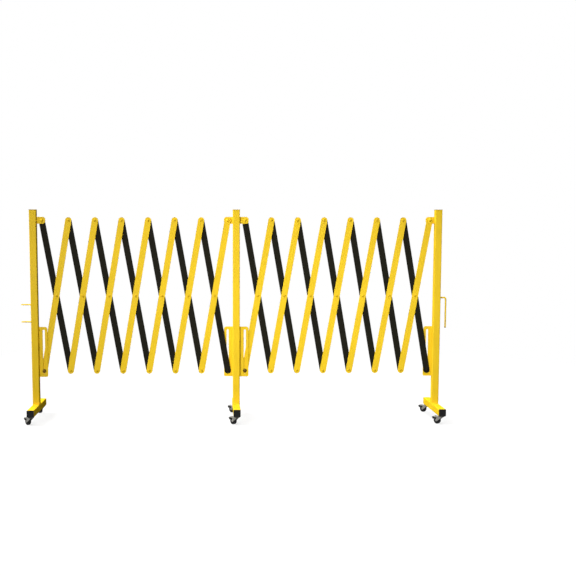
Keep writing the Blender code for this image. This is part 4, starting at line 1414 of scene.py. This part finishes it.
def hub(place):
    """The moulded hub, with six pockets in each face."""
    castors = settings("castors")
    half = castors.wheel_width / 2
    web = half - HUB_RECESS
    bore = castors.axle_radius + castors.head_gap
    boss = bore * BOSS_SHARE
    rim = castors.hub_radius + HUB_OVERLAP
    web_start = boss + HUB_SLOPE
    web_end = rim - HUB_RIM - HUB_SLOPE
    side = [(bore, half * BOSS_WIDTH_SHARE), (boss, half * BOSS_WIDTH_SHARE),
            (web_start, web), (web_end, web),
            (rim - HUB_RIM, half * RIM_WIDTH_SHARE), (rim, half * RIM_WIDTH_SHARE)]
    made = new_turned(side + turned_over(side), HUB_SIDES, is_ring=True)

    def is_pocket(face):
        middle = face.calc_center_median()
        turn = math.degrees(math.atan2(middle.y, middle.x)) % POCKET_TURN
        return (abs(face.normal.z) > ALIGNED and POCKET_SPAN[0] < turn < POCKET_SPAN[1]
                and web_start < math.hypot(middle.x, middle.y) < web_end)

    with edit_mode(made):
        pick("FACE", is_pocket)
        bpy.ops.mesh.inset(thickness=POCKET_EDGE, depth=-POCKET_DEPTH)
    return shade(move(made, place @ TO_VIEWER))


def pedal(place):
    """The brake pedal: a wedge behind the wheel, with grip grooves across its top."""
    castors = settings("castors")
    width = castors.wheel_width
    pin = Vector(brake_pin())
    tip = from_axle(castors.tip_distance, castors.tip_angle)
    shoe = from_axle(castors.shoe_distance, castors.shoe_angle)
    made = new_band([(*shoe, castors.shoe_radius), (*tip, castors.tip_radius), (*pin, castors.pedal_hub)],
                    width, PEDAL_SIDES)
    drill(made, castors.pin_radius + castors.head_gap, -width, width, STEM_SIDES, place @ TO_VIEWER)
    along = tip - pin
    across = Vector((-along.y, along.x)).normalized()
    taper = castors.tip_radius - castors.pedal_hub
    lean = math.asin(-taper / along.length)
    for share in GROOVE_SHARES:
        radius = castors.pedal_hub + taper * share
        seat = pin + along * share + across * (radius / math.cos(lean) + GROOVE_LIFT)
        use_tool(made, new_band([(*seat, GROOVE_RADIUS)], width * GROOVE_WIDTH_SHARE, GROOVE_SIDES))
    return shade(soften(made, castors.shoe_radius * EDGE_SHARE))


class BARRIER_OT_castors(bpy.types.Operator):
    """Set out the six swivel castors with their wheels and brakes"""

    bl_idname = "barrier.castors"
    bl_label = "Castors"

    def execute(self, context):
        castors = settings("castors")
        pin_x, pin_z = brake_pin()
        axle = shift(x=castors.trail, z=castors.wheel_radius)
        pin = shift(x=pin_x, z=pin_z)
        pedal_end = castors.axle_end * PEDAL_PIN_END_SHARE
        patterns = {
            # The swivel head's darker zinc is painted shade
            "head": (swivel_head(), "fork", SHADED_HEAD_ZINC),
            "stem": (stem(), "fork", ZINC),
            "yoke": (fork(), "fork", ZINC),
            "axle": (headed_pin(castors.axle_radius, castors.axle_end, AXLE_SIDES, axle), "fork", ZINC),
            "pedal_pin": (headed_pin(castors.pin_radius, pedal_end, PIN_SIDES, pin), "fork", ZINC),
            "tyre": (tyre(axle), "wheel", RUBBER),
            "hub": (hub(axle), "wheel", HUB_PLASTIC),
            "pedal": (pedal(pin), "brake", PLASTIC),
        }
        for post in POSTS:
            for end in ENDS:
                castor = f"{post}_{end}_castor"
                for kind, (pattern, part, coat) in patterns.items():
                    node = f"{castor}_{part}"
                    set_out(pattern, f"{castor}_{kind}", castor_place(post, end), node, node, coat=coat)
        put_away(*[pattern for pattern, _, _ in patterns.values()])
        return {"FINISHED"}


# Studio

WHITE = (1, 1, 1, 1)


def sees_background(tree):
    """The share of rays from the camera, a mirror or glass."""
    rays = add_node(tree, "ShaderNodeLightPath", (-900, 300)).outputs
    first = add_node(tree, "ShaderNodeMath", (-680, 300),
                     {0: rays["Is Camera Ray"], 1: rays["Is Glossy Ray"]}, operation="MAXIMUM")
    second = add_node(tree, "ShaderNodeMath", (-480, 300),
                      {0: first.outputs["Value"], 1: rays["Is Transmission Ray"]}, operation="MAXIMUM")
    return second.outputs["Value"]


def mix_with_white(tree, share, shader, white_kind, result_kind):
    """End a node tree in a mix of a shader and plain white."""
    white = add_node(tree, white_kind, (-200, -160), {"Color": WHITE, "Strength": 1})
    mix = add_node(tree, "ShaderNodeMixShader", (40, 100), {"Fac": share, 1: shader, 2: white.outputs[0]})
    add_node(tree, result_kind, (240, 100), {"Surface": mix.outputs["Shader"]})


def floor_finish():
    """A pale floor that is seen nearly white and keeps the object's shadow."""
    studio = settings("studio")
    material = bpy.data.materials.new("pale_floor")
    material.use_nodes = True
    tree = material.node_tree
    tree.nodes.clear()
    rays = add_node(tree, "ShaderNodeLightPath", (-680, 0)).outputs
    lightness = add_node(tree, "ShaderNodeMapRange", (-440, 0), {
        "Value": rays["Is Diffuse Ray"], "To Min": studio.floor_tone, "To Max": studio.floor_bounce})
    matt = add_node(tree, "ShaderNodeBsdfDiffuse", (-200, 0), {"Color": lightness.outputs["Result"]})
    place = add_node(tree, "ShaderNodeTexCoord", (-900, 560)).outputs["Object"]
    distance = add_node(tree, "ShaderNodeVectorMath", (-680, 560), {0: place}, operation="LENGTH")
    near_share = add_node(tree, "ShaderNodeMapRange", (-480, 560), {
        "Value": distance.outputs["Value"],
        "From Min": studio.shadow_reach, "From Max": 2 * studio.shadow_reach,
        "To Min": studio.floor_white, "To Max": 1}, interpolation_type="SMOOTHSTEP")
    share = add_node(tree, "ShaderNodeMath", (-200, 300), {
        0: sees_background(tree), 1: near_share.outputs["Result"]}, operation="MULTIPLY")
    mix_with_white(tree, share.outputs["Value"], matt.outputs["BSDF"], "ShaderNodeEmission",
                   "ShaderNodeOutputMaterial")
    return material


def surround():
    """A world that looks white, and lights the object with a weaker fill."""
    world = bpy.data.worlds.new("studio")
    world.use_nodes = True
    tree = world.node_tree
    tree.nodes.clear()
    fill = add_node(tree, "ShaderNodeBackground", (-200, 0),
                    {"Color": WHITE, "Strength": settings("studio").fill})
    mix_with_white(tree, sees_background(tree), fill.outputs["Background"], "ShaderNodeBackground",
                   "ShaderNodeOutputWorld")
    bpy.context.scene.world = world


def add_light(kind, name, power, place, target=(0, 0, 0), **fields):
    """A light that shines from its place at a target."""
    clear_selection()
    bpy.ops.object.light_add(type=kind, location=place)
    light = bpy.context.object
    light.name = name
    light.data.energy = power
    for field, value in fields.items():
        setattr(light.data, field, value)
    light.rotation_euler = (Vector(target) - Vector(place)).to_track_quat("-Z", "Y").to_euler()


class BARRIER_OT_studio(bpy.types.Operator):
    """Set up the floor, the lights and the camera"""

    bl_idname = "barrier.studio"
    bl_label = "Studio"

    def execute(self, context):
        studio = settings("studio")
        clear_selection()
        bpy.ops.mesh.primitive_plane_add(size=studio.floor_side)
        floor = bpy.context.object
        floor.name = "floor"
        floor.data.materials.append(floor_finish())
        surround()
        add_light("AREA", "key_light", studio.key_power, studio.key_place, studio.key_target,
                  size=studio.lamp_size, spread=studio.key_beam)
        add_light("AREA", "right_light", studio.right_power, studio.right_place, studio.right_target,
                  size=studio.lamp_size, spread=studio.right_beam)
        add_light("SUN", "side_light", studio.side_strength, studio.side_place, angle=studio.far_angle)
        add_light("SUN", "top_light", studio.top_strength, studio.top_place, angle=studio.far_angle)
        add_light("SUN", "back_light", studio.back_strength, studio.back_place, angle=studio.far_angle)
        self.set_up_camera(studio)
        context.scene.view_settings.view_transform = "Standard"
        return {"FINISHED"}

    def set_up_camera(self, studio):
        """The camera where the photo's stood."""
        clear_selection()
        bpy.ops.object.camera_add(location=studio.camera_place)
        camera = bpy.context.object
        camera.name = "camera"
        camera.rotation_euler = (RIGHT_ANGLE - studio.camera_tilt, 0, -studio.camera_turn)
        camera.data.sensor_width = SENSOR_WIDTH
        camera.data.lens = studio.focal_pixels / IMAGE_SIDE * SENSOR_WIDTH
        camera.data.shift_x = studio.shift_right
        camera.data.shift_y = studio.shift_up
        bpy.context.scene.camera = camera


# Panel and registration

STEPS = (
    BARRIER_OT_finishes,
    BARRIER_OT_slats,
    BARRIER_OT_rivets,
    BARRIER_OT_slot_bolts,
    BARRIER_OT_posts,
    BARRIER_OT_plates,
    BARRIER_OT_foot_caps,
    BARRIER_OT_joining_parts,
    BARRIER_OT_castors,
    BARRIER_OT_studio,
)

SETTINGS = {
    "barrier_lattice": LatticeSettings,
    "barrier_bolts": BoltSettings,
    "barrier_posts": PostSettings,
    "barrier_plates": PlateSettings,
    "barrier_joining": JoiningSettings,
    "barrier_castors": CastorSettings,
    "barrier_finishes": FinishSettings,
    "barrier_studio": StudioSettings,
}


class BARRIER_PT_panel(bpy.types.Panel):
    """Lists the barrier's steps in the order in which they are made"""

    bl_idname = "BARRIER_PT_panel"
    bl_label = "Expandable barrier"
    bl_space_type = "VIEW_3D"
    bl_region_type = "UI"
    bl_category = "Barrier"

    def draw(self, context):
        for step in STEPS:
            self.layout.operator(step.bl_idname)


def register():
    for group in SETTINGS.values():
        bpy.utils.register_class(group)
    for step in STEPS:
        bpy.utils.register_class(step)
    bpy.utils.register_class(BARRIER_PT_panel)
    for name, group in SETTINGS.items():
        setattr(bpy.types.Scene, name, PointerProperty(type=group))


def unregister():
    for name in SETTINGS:
        delattr(bpy.types.Scene, name)
    bpy.utils.unregister_class(BARRIER_PT_panel)
    for step in reversed(STEPS):
        bpy.utils.unregister_class(step)
    for group in reversed(SETTINGS.values()):
        bpy.utils.unregister_class(group)


def main():
    register()
    for step in STEPS:
        group, name = step.bl_idname.split(".")
        getattr(getattr(bpy.ops, group), name)()
    clear_selection()
    bpy.context.view_layer.update()


if __name__ == "__main__":
    main()
